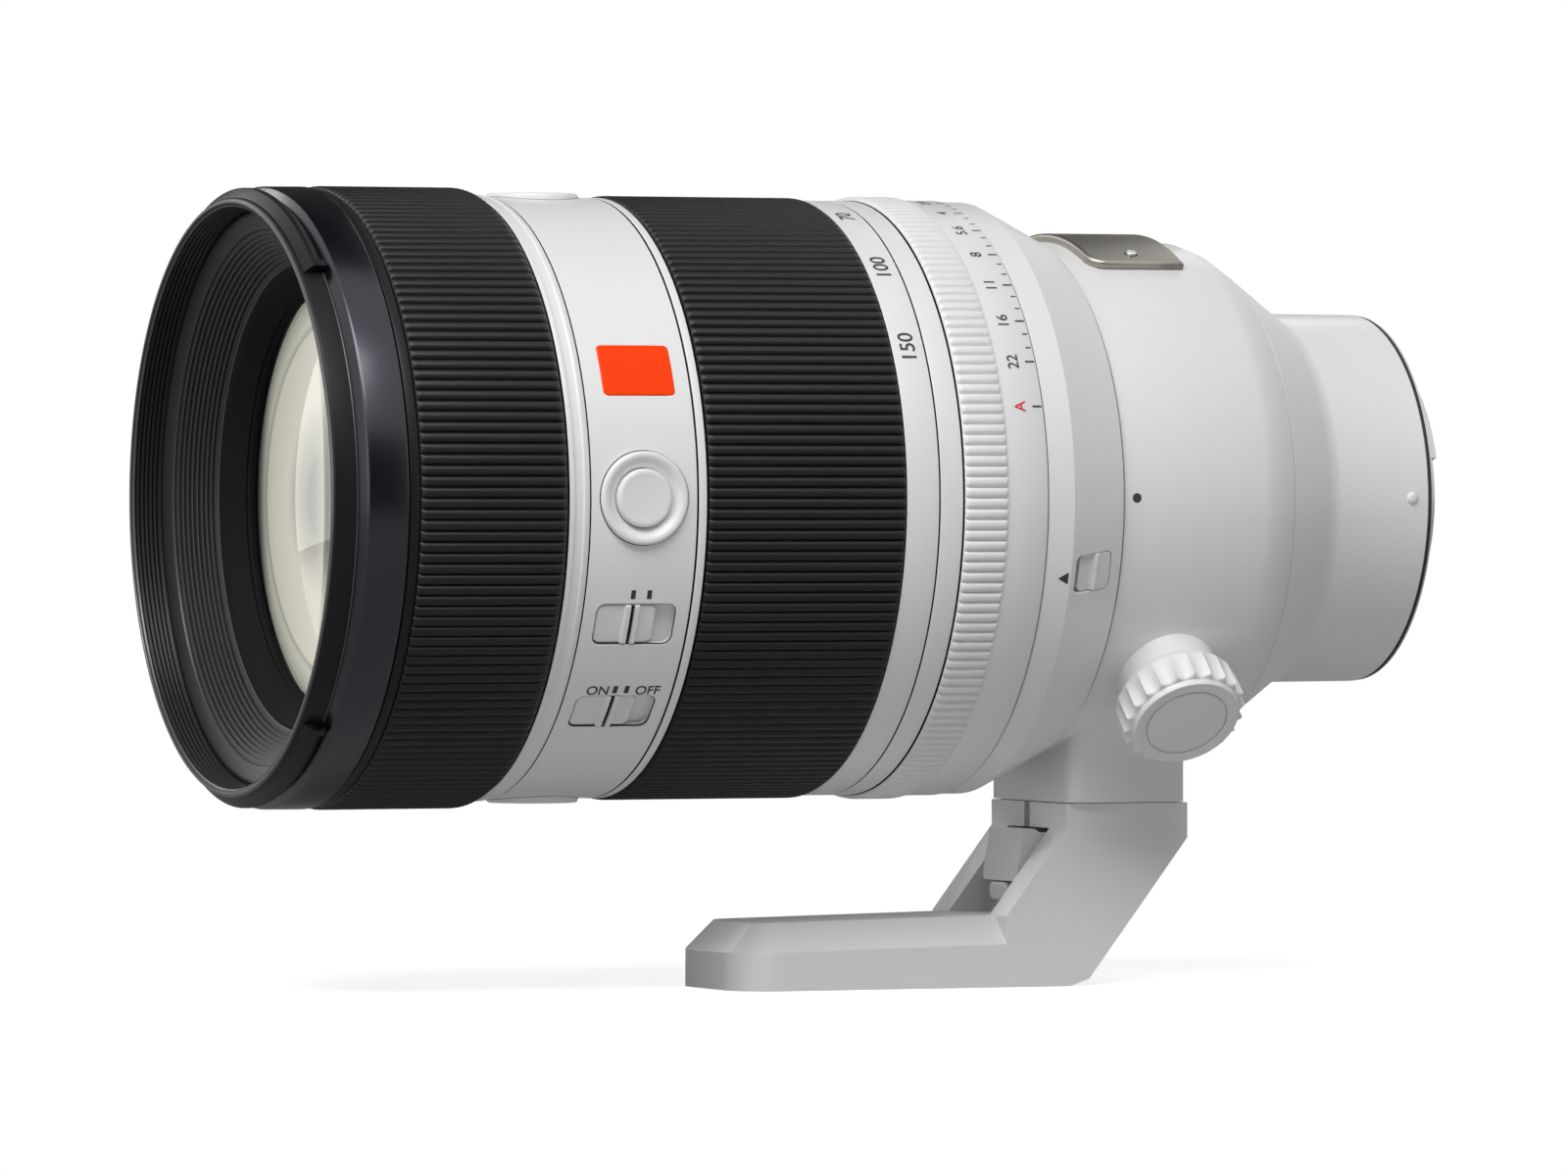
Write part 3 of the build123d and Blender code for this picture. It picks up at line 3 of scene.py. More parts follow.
import bmesh
import bpy
import numpy as np
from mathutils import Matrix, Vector


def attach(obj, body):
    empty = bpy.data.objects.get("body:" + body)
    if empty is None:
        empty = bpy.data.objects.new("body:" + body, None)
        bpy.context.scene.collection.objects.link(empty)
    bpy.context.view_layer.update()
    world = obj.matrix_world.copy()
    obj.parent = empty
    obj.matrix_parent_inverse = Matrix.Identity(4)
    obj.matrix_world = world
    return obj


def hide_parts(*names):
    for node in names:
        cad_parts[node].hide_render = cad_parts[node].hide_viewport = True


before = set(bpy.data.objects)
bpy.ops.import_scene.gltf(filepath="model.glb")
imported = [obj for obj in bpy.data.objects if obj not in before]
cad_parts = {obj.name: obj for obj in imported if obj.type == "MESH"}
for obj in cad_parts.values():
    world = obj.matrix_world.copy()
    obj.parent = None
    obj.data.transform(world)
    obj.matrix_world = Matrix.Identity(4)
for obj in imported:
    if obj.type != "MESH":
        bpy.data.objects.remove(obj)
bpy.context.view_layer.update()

scene = bpy.context.scene
scene.view_settings.view_transform = "Standard"

# The camera stands level with the lens axis, 1.85 m away and 22.7 degrees towards the front glass, with
# a long lens, as the curved seams of the rings in the photograph show. Its frame is shifted down to take
# in the foot.
view_angle = math.radians(22.7)
camera_distance = 1.85
aim_x = -0.10495
photo_camera = bpy.data.objects.new("photo_camera", bpy.data.cameras.new("photo_camera"))
photo_camera.data.sensor_width = 36.0
photo_camera.data.lens = 255.2
photo_camera.data.shift_y = -0.0574
photo_camera.data.clip_start = 0.1
photo_camera.data.clip_end = 30.0
photo_camera.location = (
    aim_x - camera_distance * math.sin(view_angle),
    -camera_distance * math.cos(view_angle),
    0.0,
)
photo_camera.rotation_euler = (math.pi / 2, 0.0, -view_angle)
scene.collection.objects.link(photo_camera)
scene.camera = photo_camera

# Studio: a pale floor under the foot, a white surround that only the camera and mirror-like rays see,
# and soft boxes: a broad one above the near side, a tall one at the front and a weak one behind for the
# far side.
floor_z = -0.0814
floor_half = 1.6


def put(name, vertices, faces, finish, body=None, sharp=35.0, closed=True):
    """Mesh object from an array of vertices in metres and a list of faces.

    It is smooth but for edges over the sharp angle in degrees. A closed shell gets its faces turned
    outwards. With a body, the piece rides on it.
    """
    mesh = bpy.data.meshes.new(name)
    corners = np.asarray(vertices, float).reshape(-1, 3).tolist()
    mesh.from_pydata(corners, [], [list(map(int, face)) for face in faces])
    if closed:
        shell = bmesh.new()
        shell.from_mesh(mesh)
        bmesh.ops.recalc_face_normals(shell, faces=shell.faces)
        shell.to_mesh(mesh)
        shell.free()
    mesh.polygons.foreach_set("use_smooth", np.ones(len(mesh.polygons), bool))
    mesh.set_sharp_from_angle(angle=math.radians(sharp))
    mesh.materials.append(finish)
    piece = bpy.data.objects.new(name, mesh)
    scene.collection.objects.link(piece)
    if body:
        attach(piece, body)
    return piece


def add_node(tree, kind, feeds=None, **settings):
    """New shader node with its settings made. feeds gives its inputs a socket each to link, or a value."""
    made = tree.nodes.new("ShaderNode" + kind)
    for setting, value in settings.items():
        setattr(made, setting, value)
    for place, feed in (feeds or {}).items():
        if isinstance(feed, bpy.types.NodeSocket):
            tree.links.new(feed, made.inputs[place])
        else:
            made.inputs[place].default_value = feed
    return made


def backdrop_shader(tree, lit, shown, mirrored=True):
    """The shown shader for camera, transmission and, where mirrored, glossy rays, and lit for the rest."""
    rays = add_node(tree, "LightPath").outputs
    glossy = rays["Is Glossy Ray"] if mirrored else 0.0
    seen = add_node(tree, "Math", {0: rays["Is Camera Ray"], 1: glossy}, operation="MAXIMUM")
    through = rays["Is Transmission Ray"]
    also = add_node(tree, "Math", {0: seen.outputs[0], 1: through}, operation="MAXIMUM")
    return add_node(tree, "MixShader", {0: also.outputs[0], 1: lit.outputs[0], 2: shown.outputs[0]})


floor_finish = bpy.data.materials.new("pale_floor")
floor_finish.use_nodes = True
floor_tree = floor_finish.node_tree
floor_tree.nodes.clear()
floor_paint = add_node(floor_tree, "BsdfDiffuse", {"Color": (0.80, 0.80, 0.80, 1.0)})
floor_bounce = add_node(floor_tree, "BsdfDiffuse", {"Color": (0.50, 0.50, 0.50, 1.0)})
floor_glow = add_node(floor_tree, "Emission", {"Strength": 0.72})
floor_white = add_node(floor_tree, "Emission", {"Strength": 1.0})
floor_near = add_node(floor_tree, "AddShader", {0: floor_paint.outputs[0], 1: floor_glow.outputs[0]})
floor_place = add_node(floor_tree, "TexCoord").outputs["Object"]
floor_far = add_node(
    floor_tree, "VectorMath", {0: floor_place, 1: (-0.09, 0.0, floor_z)}, operation="DISTANCE"
)
floor_ramp = add_node(
    floor_tree, "MapRange", {"Value": floor_far.outputs["Value"], "From Min": 0.08, "From Max": 0.22}
)
floor_shown = add_node(
    floor_tree,
    "MixShader",
    {0: floor_ramp.outputs["Result"], 1: floor_near.outputs[0], 2: floor_white.outputs[0]},
)
floor_mix = backdrop_shader(floor_tree, floor_bounce, floor_shown, mirrored=False)
add_node(floor_tree, "OutputMaterial", {"Surface": floor_mix.outputs[0]})
floor_corners = [
    (-floor_half, -floor_half, floor_z),
    (floor_half, -floor_half, floor_z),
    (floor_half, floor_half, floor_z),
    (-floor_half, floor_half, floor_z),
]
floor = put("studio_floor", floor_corners, [(0, 1, 2, 3)], floor_finish, closed=False)

surround = bpy.data.worlds.new("studio_surround")
scene.world = surround
surround.use_nodes = True
surround_tree = surround.node_tree
surround_tree.nodes.clear()
surround_dim = add_node(surround_tree, "Background", {"Color": (0.97, 0.98, 1.0, 1.0), "Strength": 0.12})
surround_white = add_node(surround_tree, "Background", {"Color": (1.0, 1.0, 1.0, 1.0), "Strength": 1.0})
surround_mix = backdrop_shader(surround_tree, surround_dim, surround_white)
add_node(surround_tree, "OutputWorld", {"Surface": surround_mix.outputs[0]})

for lamp_name, place, width, height, power in (
    ("key_softbox", (-0.48, -0.60, 0.82), 1.2, 0.46, 11.7),
    ("front_softbox", (-1.20, -0.50, 0.20), 0.35, 0.7, 1.3),
    ("back_softbox", (0.0, 1.20, 0.50), 1.4, 0.5, 5.0),
):
    lamp = bpy.data.lights.new(lamp_name, "AREA")
    lamp.shape = "RECTANGLE"
    lamp.size = width
    lamp.size_y = height
    lamp.energy = power
    lamp_object = bpy.data.objects.new(lamp_name, lamp)
    lamp_object.location = place
    lamp_object.visible_transmission = False
    aim = Vector((-0.10, 0.0, -0.01)) - Vector(place)
    lamp_object.rotation_euler = aim.to_track_quat("-Z", "Y").to_euler()
    scene.collection.objects.link(lamp_object)

# Black cards of painted board, one beside the camera and one bent over the far side, stand in the studio
# to darken what the glossy finishes mirror. Only mirror-like rays see them.
card_corners = [
    (-0.45, -1.15, floor_z), (0.36, -1.10, floor_z), (0.36, -1.10, 0.46), (-0.45, -1.15, 0.46),
    (-0.30, 0.80, floor_z), (0.45, 0.80, floor_z), (0.45, 0.80, 1.20), (-0.30, 0.80, 1.20),
    (0.45, 0.0, 1.30), (-0.30, 0.0, 1.30),
]
card_faces = [(0, 1, 2, 3), (4, 5, 6, 7), (7, 6, 8, 9)]
card_finish = bpy.data.materials.new("black_card")
card_finish.use_nodes = True
card_shader = card_finish.node_tree.nodes["Principled BSDF"]
card_shader.inputs["Base Color"].default_value = (0.01, 0.01, 0.01, 1.0)
card_shader.inputs["Roughness"].default_value = 0.9
black_card = put("black_card", card_corners, card_faces, card_finish, closed=False)
black_card.visible_camera = False
black_card.visible_diffuse = False
black_card.visible_shadow = False
black_card.visible_transmission = False

# Front ring: turned aluminium, bead blasted and anodised black. It carries the fine filter thread
# inside, polished edges, and two raised rails at the top and bottom that a hood turns on to, each with
# end stops.
rim_station = 203.2
thread_pitch = 0.75
thread_depth = 0.2
thread_root = 47.45
rail_half_angle = 42.5
rail_stop_angle = 1.6


def grain_group():
    """Shader group: fine noise on Object coordinates shifts a finish's colour, roughness and height."""
    group = bpy.data.node_groups.new("fine_grain", "ShaderNodeTree")
    for socket_name, kind, value in (
        ("Color", "NodeSocketColor", (0.8, 0.8, 0.8, 1.0)),
        ("Color Shift", "NodeSocketFloat", 0.04),
        ("Roughness", "NodeSocketFloat", 0.4),
        ("Roughness Shift", "NodeSocketFloat", 0.05),
        ("Scale", "NodeSocketFloat", 900.0),
        ("Depth", "NodeSocketFloat", 0.00001),
    ):
        socket = group.interface.new_socket(socket_name, in_out="INPUT", socket_type=kind)
        socket.default_value = value
    for socket_name, kind in (("Color", "Color"), ("Roughness", "Float"), ("Normal", "Vector")):
        group.interface.new_socket(socket_name, in_out="OUTPUT", socket_type="NodeSocket" + kind)
    given = group.nodes.new("NodeGroupInput").outputs
    result = group.nodes.new("NodeGroupOutput").inputs
    place = add_node(group, "TexCoord").outputs["Object"]
    noise = add_node(group, "TexNoise", {"Detail": 2.0, "Vector": place, "Scale": given["Scale"]})
    grain = noise.outputs[0]
    centred = add_node(group, "Math", {0: grain, 1: 0.5}, operation="SUBTRACT").outputs[0]
    shift = add_node(group, "Math", {0: centred, 1: given["Color Shift"], 2: 1.0}, operation="MULTIPLY_ADD")
    tone = add_node(group, "HueSaturation", {"Color": given["Color"], "Value": shift.outputs[0]})
    rough = add_node(
        group,
        "Math",
        {0: centred, 1: given["Roughness Shift"], 2: given["Roughness"]},
        operation="MULTIPLY_ADD",
    )
    bump = add_node(group, "Bump", {"Height": grain, "Distance": given["Depth"]})
    for socket_name, made in (("Color", tone), ("Roughness", rough), ("Normal", bump)):
        group.links.new(made.outputs[0], result[socket_name])
    return group


fine_grain = grain_group()


def finish_of(name, color, roughness, shift=0.05, rough_shift=0.08, scale=900.0, depth=0.000006, **sockets):
    """Principled material whose colour, roughness and normal come from the fine_grain group.

    Other keyword values are set on the shader's own sockets, by name with underscores for spaces.
    """
    material = bpy.data.materials.new(name)
    material.use_nodes = True
    tree = material.node_tree
    shader = tree.nodes["Principled BSDF"]
    feeds = {
        "Color": (*color, 1.0), "Color Shift": shift, "Roughness": roughness,
        "Roughness Shift": rough_shift, "Scale": scale, "Depth": depth,
    }
    grain = add_node(tree, "Group", feeds, node_tree=fine_grain)
    tree.links.new(grain.outputs["Color"], shader.inputs["Base Color"])
    tree.links.new(grain.outputs["Roughness"], shader.inputs["Roughness"])
    tree.links.new(grain.outputs["Normal"], shader.inputs["Normal"])
    for socket_name, value in sockets.items():
        shader.inputs[socket_name.replace("_", " ")].default_value = value
    return material


def eased(outline, radius=0.15, steps=3):
    """Outline whose corners are each replaced by a parabola, B(t) = (1-t)^2 a + 2t(1-t) p + t^2 b.

    a and b lie on the two sides of corner p, radius mm from it, or 0.4 of the side if that is less.
    """
    p = np.asarray(outline, float)
    back, ahead = np.roll(p, 1, axis=0) - p, np.roll(p, -1, axis=0) - p
    back_length = np.linalg.norm(back, axis=1)[:, None]
    ahead_length = np.linalg.norm(ahead, axis=1)[:, None]
    reach = np.broadcast_to(np.asarray(radius, float).reshape(-1, 1), (len(p), 1))
    a = p + back / back_length * np.minimum(reach, 0.4 * back_length)
    b = p + ahead / ahead_length * np.minimum(reach, 0.4 * ahead_length)
    t = np.linspace(0.0, 1.0, steps + 1)[None, :, None]
    arcs = (1 - t) ** 2 * a[:, None] + 2 * t * (1 - t) * p[:, None] + t**2 * b[:, None]
    return arcs.reshape(-1, 2)


def on_barrel(station, clock, radius):
    """Points in metres from stations in mm behind the front rim, clock angles in radians and radii in mm.

    Clock 0 is the top of the barrel and a quarter turn is the near side: the point is
    (x, y, z) = (s, -r sin a, r cos a).
    """
    station, clock, radius = np.broadcast_arrays(station, clock, radius)
    spot = [station - rim_station, -radius * np.sin(clock), radius * np.cos(clock)]
    return np.stack(spot, axis=-1) / 1000.0


def grid_faces(rows, columns, wrap_rows, wrap_columns):
    """Quads of a grid of rows by columns of points, joined round at its ends where asked."""
    i, j = np.meshgrid(
        np.arange(rows if wrap_rows else rows - 1),
        np.arange(columns if wrap_columns else columns - 1),
        indexing="ij",
    )
    down, right = (i + 1) % rows, (j + 1) % columns
    quads = [i * columns + j, down * columns + j, down * columns + right, i * columns + right]
    return np.stack(quads, axis=-1).reshape(-1, 4)


def turned(name, outline, finish, body, columns=288, ribs=None, weights=None, sharp=35.0, ends=None):
    """Ring turned about the axis: outline point (s, r) goes round at radius r + weight * ribs(clock).

    The outline is closed, in mm. ribs is an array of heights, one per column, and weights one per
    outline point. ends is the finish of the end walls, which square up to the next ring.
    """
    outline = np.asarray(outline, float)
    clock = np.linspace(0.0, 2 * math.pi, columns, endpoint=False)
    radius = np.repeat(outline[:, 1:2], columns, axis=1)
    if ribs is not None:
        radius = radius + np.asarray(weights, float)[:, None] * np.asarray(ribs)[None, :]
    points = on_barrel(outline[:, :1], clock[None, :], radius)
    ring = put(name, points, grid_faces(len(outline), columns, True, True), finish, body, sharp)
    if ends:
        finish_ends(ring.data, ends)
    return ring


def finish_ends(mesh, finish, facing=0.93):
    """Gives the faces that look along the axis, with |n_x| over facing, a finish of their own."""
    mesh.materials.append(finish)
    normals = np.empty(len(mesh.polygons) * 3)
    mesh.polygons.foreach_get("normal", normals)
    mesh.polygons.foreach_set("material_index", (np.abs(normals[::3]) > facing).astype(np.int32))
    mesh.update()


def arc_solid(name, outline, start, end, finish, body, columns=72):
    """Outline (s, r) in mm carried round the axis between two clock angles in degrees, with flat ends."""
    outline = np.asarray(outline, float)
    clock = np.radians(np.linspace(start, end, columns))
    points = on_barrel(outline[None, :, 0], clock[:, None], outline[None, :, 1])
    count = len(outline)
    faces = [tuple(f) for f in grid_faces(columns, count, False, True)]
    faces += [tuple(range(count)), tuple(range((columns - 1) * count, columns * count))]
    return put(name, points, faces, finish, body)


def stands_for(node):
    """Hides a CAD node, in whose place a piece stands."""
    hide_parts(node)


black_anodised = finish_of(
    "black_anodised", (0.006, 0.006, 0.007), 0.40, shift=0.25, scale=1800.0, depth=0.000008,
    Specular_IOR_Level=0.22,
)
thread = []
for ridge in np.arange(0.55, 4.9, thread_pitch):
    thread += [(ridge + thread_pitch / 2, thread_root + thread_depth), (ridge + thread_pitch, thread_root)]
front_outline = eased(
    [(0.0, 48.15), (0.0, 48.5), (0.55, 49.0), (4.4, 49.0), (4.4, 48.4), (12.3, 48.4)], 0.12
)
inner_outline = np.array([
    (12.3, 46.95), (5.2, 46.95), (5.2, 47.4), *thread[::-1], (0.45, 47.5), (0.25, 47.75)
])
front_ring = turned("front_ring_body", np.vstack([front_outline, inner_outline]), black_anodised, "barrel")
rail_outline = eased(
    [(0.9, 48.0), (0.9, 49.0), (2.2, 50.6), (3.2, 50.6), (3.9, 49.95), (4.35, 49.85), (4.35, 48.0)], 0.2
)
stop_outline = eased([(2.6, 48.5), (2.6, 50.6), (4.3, 50.6), (4.3, 48.5)], 0.12)
for side, middle in (("top", 0.0), ("bottom", 180.0)):
    rail_start, rail_end = middle - rail_half_angle, middle + rail_half_angle
    arc_solid(f"hood_rail_{side}", rail_outline, rail_start, rail_end, black_anodised, "barrel")
    for end, start in (("near", rail_end - rail_stop_angle), ("far", rail_start)):
        stop_end = start + rail_stop_angle
        arc_solid(f"hood_stop_{side}_{end}", stop_outline, start, stop_end, black_anodised, "barrel", 6)
turned_edge = finish_of(
    "turned_edge", (0.10, 0.10, 0.10), 0.34, shift=0.1, rough_shift=0.1, scale=1500.0, depth=0.000002,
    Metallic=0.7,
)
for place, edge_outline in (
    ("front", [(0.3, 48.0), (-0.02, 48.1), (-0.02, 48.5), (0.25, 48.8), (0.4, 48.6)]),
    ("inner", [(0.2, 47.7), (0.33, 47.52), (0.6, 47.44), (0.6, 47.6)]),
    ("rear", [(4.1, 48.8), (4.12, 49.03), (4.36, 49.03), (4.4, 48.9), (4.4, 48.8)]),
):
    turned(f"front_ring_{place}_edge", eased(edge_outline, 0.04), turned_edge, "barrel")
stands_for("front_ring")

# Name ring: a bevelled aluminium ring, lacquered in a glossy blue-black and pressed on behind the hood
# rails. Its face is bare.
gloss_black = finish_of(
    "blue_black_lacquer", (0.0015, 0.0015, 0.003), 0.24, shift=0.1, rough_shift=0.02, scale=300.0,
    depth=0.0, Specular_IOR_Level=0.75, Specular_Tint=(0.86, 0.87, 1.0, 1.0),
)
name_ring_outline = eased(
    [(4.35, 48.45), (4.35, 49.15), (5.5, 50.85), (12.2, 50.9), (12.4, 50.7), (12.4, 48.45)],
    [0.05, 0.1, 0.35, 0.15, 0.08, 0.05],
)
name_ring = turned("name_ring_lacquer", name_ring_outline, gloss_black, "barrel")
stands_for("name_ring")

# Light trap and retaining ring: black moulded funnel with nine sharp ribs that stop stray light, and the
# threaded ring behind it that clamps the front glass. The ribs are dull black, and the throat and the
# ring are flocked.
trap_black = finish_of(
    "light_trap_black", (0.028, 0.028, 0.028), 0.36, shift=0.3, scale=2200.0, depth=0.000006,
    Specular_IOR_Level=0.5,
)
flock_black = finish_of(
    "flock_black", (0.007, 0.007, 0.007), 0.7, shift=0.3, scale=2600.0, depth=0.00001,
    Specular_IOR_Level=0.12,
)
trap = [(5.25, 46.4), (5.3, 46.2), (6.0, 43.85), (6.25, 43.7)]
for rib in range(9):
    front = 6.55 + rib * 0.62
    radius = 43.2 - rib * 0.575
    trap += [
        (front, radius + 0.55), (front + 0.16, radius - 0.10), (front + 0.26, radius - 0.20),
        (front + 0.36, radius - 0.16),
    ]
trap += [
    (12.2, 38.0), (12.5, 37.9), (12.8, 36.8), (13.2, 36.5), (15.5, 34.1), (15.5, 35.2), (8.8, 44.8),
    (8.8, 46.8), (5.25, 46.8),
]
light_trap = turned("light_trap", trap, trap_black, "barrel", sharp=25.0)
stands_for("front_baffle")
throat_outline = eased(
    [(12.15, 38.05), (12.1, 37.6), (12.6, 36.7), (13.1, 36.2), (15.4, 33.85), (15.6, 34.2), (12.6, 38.0)],
    0.08,
)
turned("light_trap_throat", throat_outline, flock_black, "barrel")
retainer_outline = eased(
    [(15.6, 34.0), (15.6, 44.9), (18.0, 44.9), (18.0, 38.0), (16.95, 33.6), (16.0, 33.6)], 0.1
)
retainer = turned("glass_retainer", retainer_outline, flock_black, "barrel")
stands_for("front_retainer")

# Front glass: a ground and polished element 76 mm across, bulging forwards, with a pale coating. The
# second glass behind it is opaque, with pale arcs of painted reflection and a weak painted glow in its
# colour, which fade to dark when one looks straight in.
front_glass_radius = 38.0
inner_glass_radius = 29.9


def lens_solid(name, front, rear, radius, front_rise, rear_rise, finish, body, rows=28, columns=144):
    """Round lens whose faces are spheres through the edge and the middle of the glass.

    A face of rise h and edge radius R has a sphere of radius (R^2 + h^2) / 2h. front and rear are the
    edge stations in mm, and a positive rise moves the middle of a face rearwards.
    """
    share = np.linspace(0.0, 1.0, rows)[1:]

    def sag(rise):
        sphere = (radius**2 + rise**2) / (2 * abs(rise))
        return np.sign(rise) * (np.sqrt(sphere**2 - (share * radius) ** 2) - (sphere - abs(rise)))

    stations = np.concatenate([front + sag(front_rise), (rear + sag(rear_rise))[::-1]])
    radii = np.concatenate([share, share[::-1]]) * radius
    clock = np.linspace(0.0, 2 * math.pi, columns, endpoint=False)
    points = on_barrel(stations[:, None], clock[None, :], radii[:, None]).reshape(-1, 3)
    poles = on_barrel(np.array([front + front_rise, rear + rear_rise]), 0.0, 0.0)
    count = len(stations)
    faces = [tuple(f) for f in grid_faces(count, columns, False, True)]
    ring = np.arange(columns)
    faces += [(count * columns, int(a), int(b)) for a, b in zip(ring, np.roll(ring, -1))]
    last = (count - 1) * columns
    faces += [
        (count * columns + 1, int(last + b), int(last + a)) for a, b in zip(ring, np.roll(ring, -1))
    ]
    return put(name, np.vstack([points, poles]), faces, finish, body, 40.0)


coated_glass = finish_of(
    "coated_glass", (0.99, 0.985, 0.97), 0.01, shift=0.02, rough_shift=0.002, scale=20.0, depth=0.0,
    Transmission_Weight=1.0, IOR=1.6, Coat_Weight=0.3, Coat_Tint=(1.0, 0.99, 0.94, 1.0),
)
front_glass = lens_solid("front_glass", 18.1, 22.2, front_glass_radius, -4.9, 1.2, coated_glass, "barrel")
stands_for("front_element")


def painted_reflection_group():
    """Shader group: painted reflection, colour by distance from the axis in rings, fading to dark where
    seen straight on.
    """
    group = bpy.data.node_groups.new("glass_painted_reflection", "ShaderNodeTree")
    group.interface.new_socket("Color", in_out="OUTPUT", socket_type="NodeSocketColor")
    result = group.nodes.new("NodeGroupOutput")
    place = add_node(group, "TexCoord").outputs["Object"]
    flat = add_node(group, "VectorMath", {0: place, 1: (0.0, 1.0, 1.0)}, operation="MULTIPLY")
    reach = add_node(group, "VectorMath", {0: flat.outputs["Vector"]}, operation="LENGTH")
    share_per_metre = 1000.0 / front_glass_radius
    share = add_node(group, "Math", {0: reach.outputs["Value"], 1: share_per_metre}, operation="MULTIPLY")
    ramp = add_node(group, "ValToRGB", {0: share.outputs[0]})
    stops = ramp.color_ramp.elements
    stops[0].position, stops[0].color = 0.0, (0.010, 0.011, 0.010, 1.0)
    stops[1].position, stops[1].color = 1.0, (0.80, 0.82, 0.75, 1.0)
    for position, tone in (
        (0.12, (0.018, 0.020, 0.018, 1.0)), (0.14, (0.045, 0.050, 0.045, 1.0)),
        (0.25, (0.12, 0.125, 0.115, 1.0)), (0.27, (0.26, 0.27, 0.245, 1.0)),
        (0.36, (0.60, 0.59, 0.54, 1.0)), (0.45, (0.97, 0.95, 0.88, 1.0)),
        (0.74, (1.0, 0.98, 0.90, 1.0)), (0.755, (0.52, 0.54, 0.49, 1.0)),
        (0.79, (0.95, 0.96, 0.89, 1.0)),
    ):
        stops.new(position).color = tone
    slant = add_node(group, "LayerWeight", {"Blend": 0.5}).outputs["Facing"]
    fade = add_node(
        group,
        "MapRange",
        {"Value": slant, "From Min": 0.20, "From Max": 0.34, "To Min": 0.04},
        interpolation_type="SMOOTHSTEP",
    )
    dim = add_node(
        group,
        "VectorMath",
        {0: ramp.outputs["Color"], "Scale": fade.outputs["Result"]},
        operation="SCALE",
    )
    group.links.new(dim.outputs["Vector"], result.inputs["Color"])
    return group


# Opaque second glass: its colour and a weak glow are painted reflection, pale arcs that stand in for light
# inside the lens.
painted_reflection_glass = bpy.data.materials.new("painted_reflection_glass")
painted_reflection_glass.use_nodes = True
painted_reflection_tree = painted_reflection_glass.node_tree
painted_glow_shader = painted_reflection_tree.nodes["Principled BSDF"]
painted_glow_shader.inputs["Roughness"].default_value = 0.12
painted_glow_shader.inputs["IOR"].default_value = 1.6
painted_glow_shader.inputs["Emission Strength"].default_value = 0.3
painted_reflection_arcs = add_node(painted_reflection_tree, "Group", node_tree=painted_reflection_group()).outputs["Color"]
painted_reflection_tree.links.new(painted_reflection_arcs, painted_glow_shader.inputs["Base Color"])
painted_reflection_tree.links.new(painted_reflection_arcs, painted_glow_shader.inputs["Emission Color"])
second_glass = lens_solid("second_glass", 24.0, 31.0, front_glass_radius, 0.9, 2.4, painted_reflection_glass, "barrel")
stands_for("second_element")
for glass_name, node, front, rear, rise, body in (
    ("variator_element", "variator_glass", 71.15, 76.15, 1.5, "variator"),
    ("focus_element", "focus_glass", 122.15, 126.15, -1.8, "focus_group"),
):
    inner_glass = lens_solid(
        glass_name, front, rear, inner_glass_radius, rise, -rise, coated_glass, body
    )
    stands_for(node)

# Focus ring: aluminium carrier with a thin black lip at the front, and a moulded rubber sleeve with 180
# ribs, rounded at their ends, stretched over it. It turns without end.
rib_count = 180
rib_depth = 0.55
rib_shape = np.array([0.0, 0.62, 0.92, 1.0, 1.03, 1.0, 0.92, 0.62])
rib_ring = np.tile(rib_shape, rib_count) - 1.0
ribbed_rubber = finish_of(
    "ribbed_rubber", (0.0065, 0.0065, 0.0068), 0.42, shift=0.35, rough_shift=0.15, scale=1500.0,
    depth=0.00001, Specular_IOR_Level=0.32,
)
focus_lip_outline = eased(
    [(12.65, 47.3), (12.65, 50.6), (14.3, 50.6), (14.3, 49.4), (39.8, 49.4), (39.8, 47.3)], 0.2
)
focus_lip = turned("focus_lip", focus_lip_outline, black_anodised, "focus")
stands_for("focus_ring")


def ribbed_sleeve(name, rows, finish, body, sharp=50.0):
    """Rubber sleeve turned from rows of (station, radius, rib weight), with ribs cut rib_depth mm in."""
    rows = np.asarray(rows, float)
    return turned(
        name, rows[:, :2], finish, body,
        columns=len(rib_ring), ribs=rib_ring * rib_depth, weights=rows[:, 2], sharp=sharp,
    )


focus_rows = [
    (14.4, 49.45, 0.0), (14.4, 50.2, 0.0), (14.55, 50.6, 0.3), (14.9, 50.9, 0.8), (15.4, 51.0, 1.0),
    (26.0, 51.0, 1.0), (38.0, 51.0, 1.0), (38.7, 50.9, 1.0), (39.2, 50.65, 0.7), (39.6, 50.3, 0.2),
    (39.85, 50.0, 0.0), (39.85, 49.45, 0.0),
]
focus_sleeve = ribbed_sleeve("focus_sleeve", focus_rows, ribbed_rubber, "focus")
stands_for("focus_grip")

# Switch barrel and its cover: a ring with a rounded front lip and a narrow rear lip, and between them a
# cover held by the button bosses, pierced for two sliding switches. Both are aluminium, sprayed white.
cover_radius = 49.55
button_clocks = {"top": 0.0, "side": 90.0, "bottom": 180.0}
button_station = 53.2
white_paint = finish_of(
    "white_lens_paint", (0.80, 0.80, 0.795), 0.36, shift=0.03, rough_shift=0.12, scale=2600.0,
    depth=0.000006, Coat_Weight=0.12, Coat_Roughness=0.25,
)
switch_barrel_outline = eased(
    [
        (40.1, 46.6), (40.1, 50.1), (41.0, 50.1), (41.1, 49.75), (42.6, 49.7), (42.8, 49.9),
        (43.8, 49.65), (43.8, 48.3), (62.7, 48.3), (62.7, 49.6), (64.1, 49.6), (64.1, 46.6),
    ],
    [0.1, 0.3, 0.15, 0.1, 0.1, 0.2, 0.15, 0.05, 0.05, 0.15, 0.15, 0.1],
)
switch_barrel = turned(
    "switch_barrel_lips", switch_barrel_outline, white_paint, "barrel", ends=black_anodised
)
stands_for("switch_barrel")


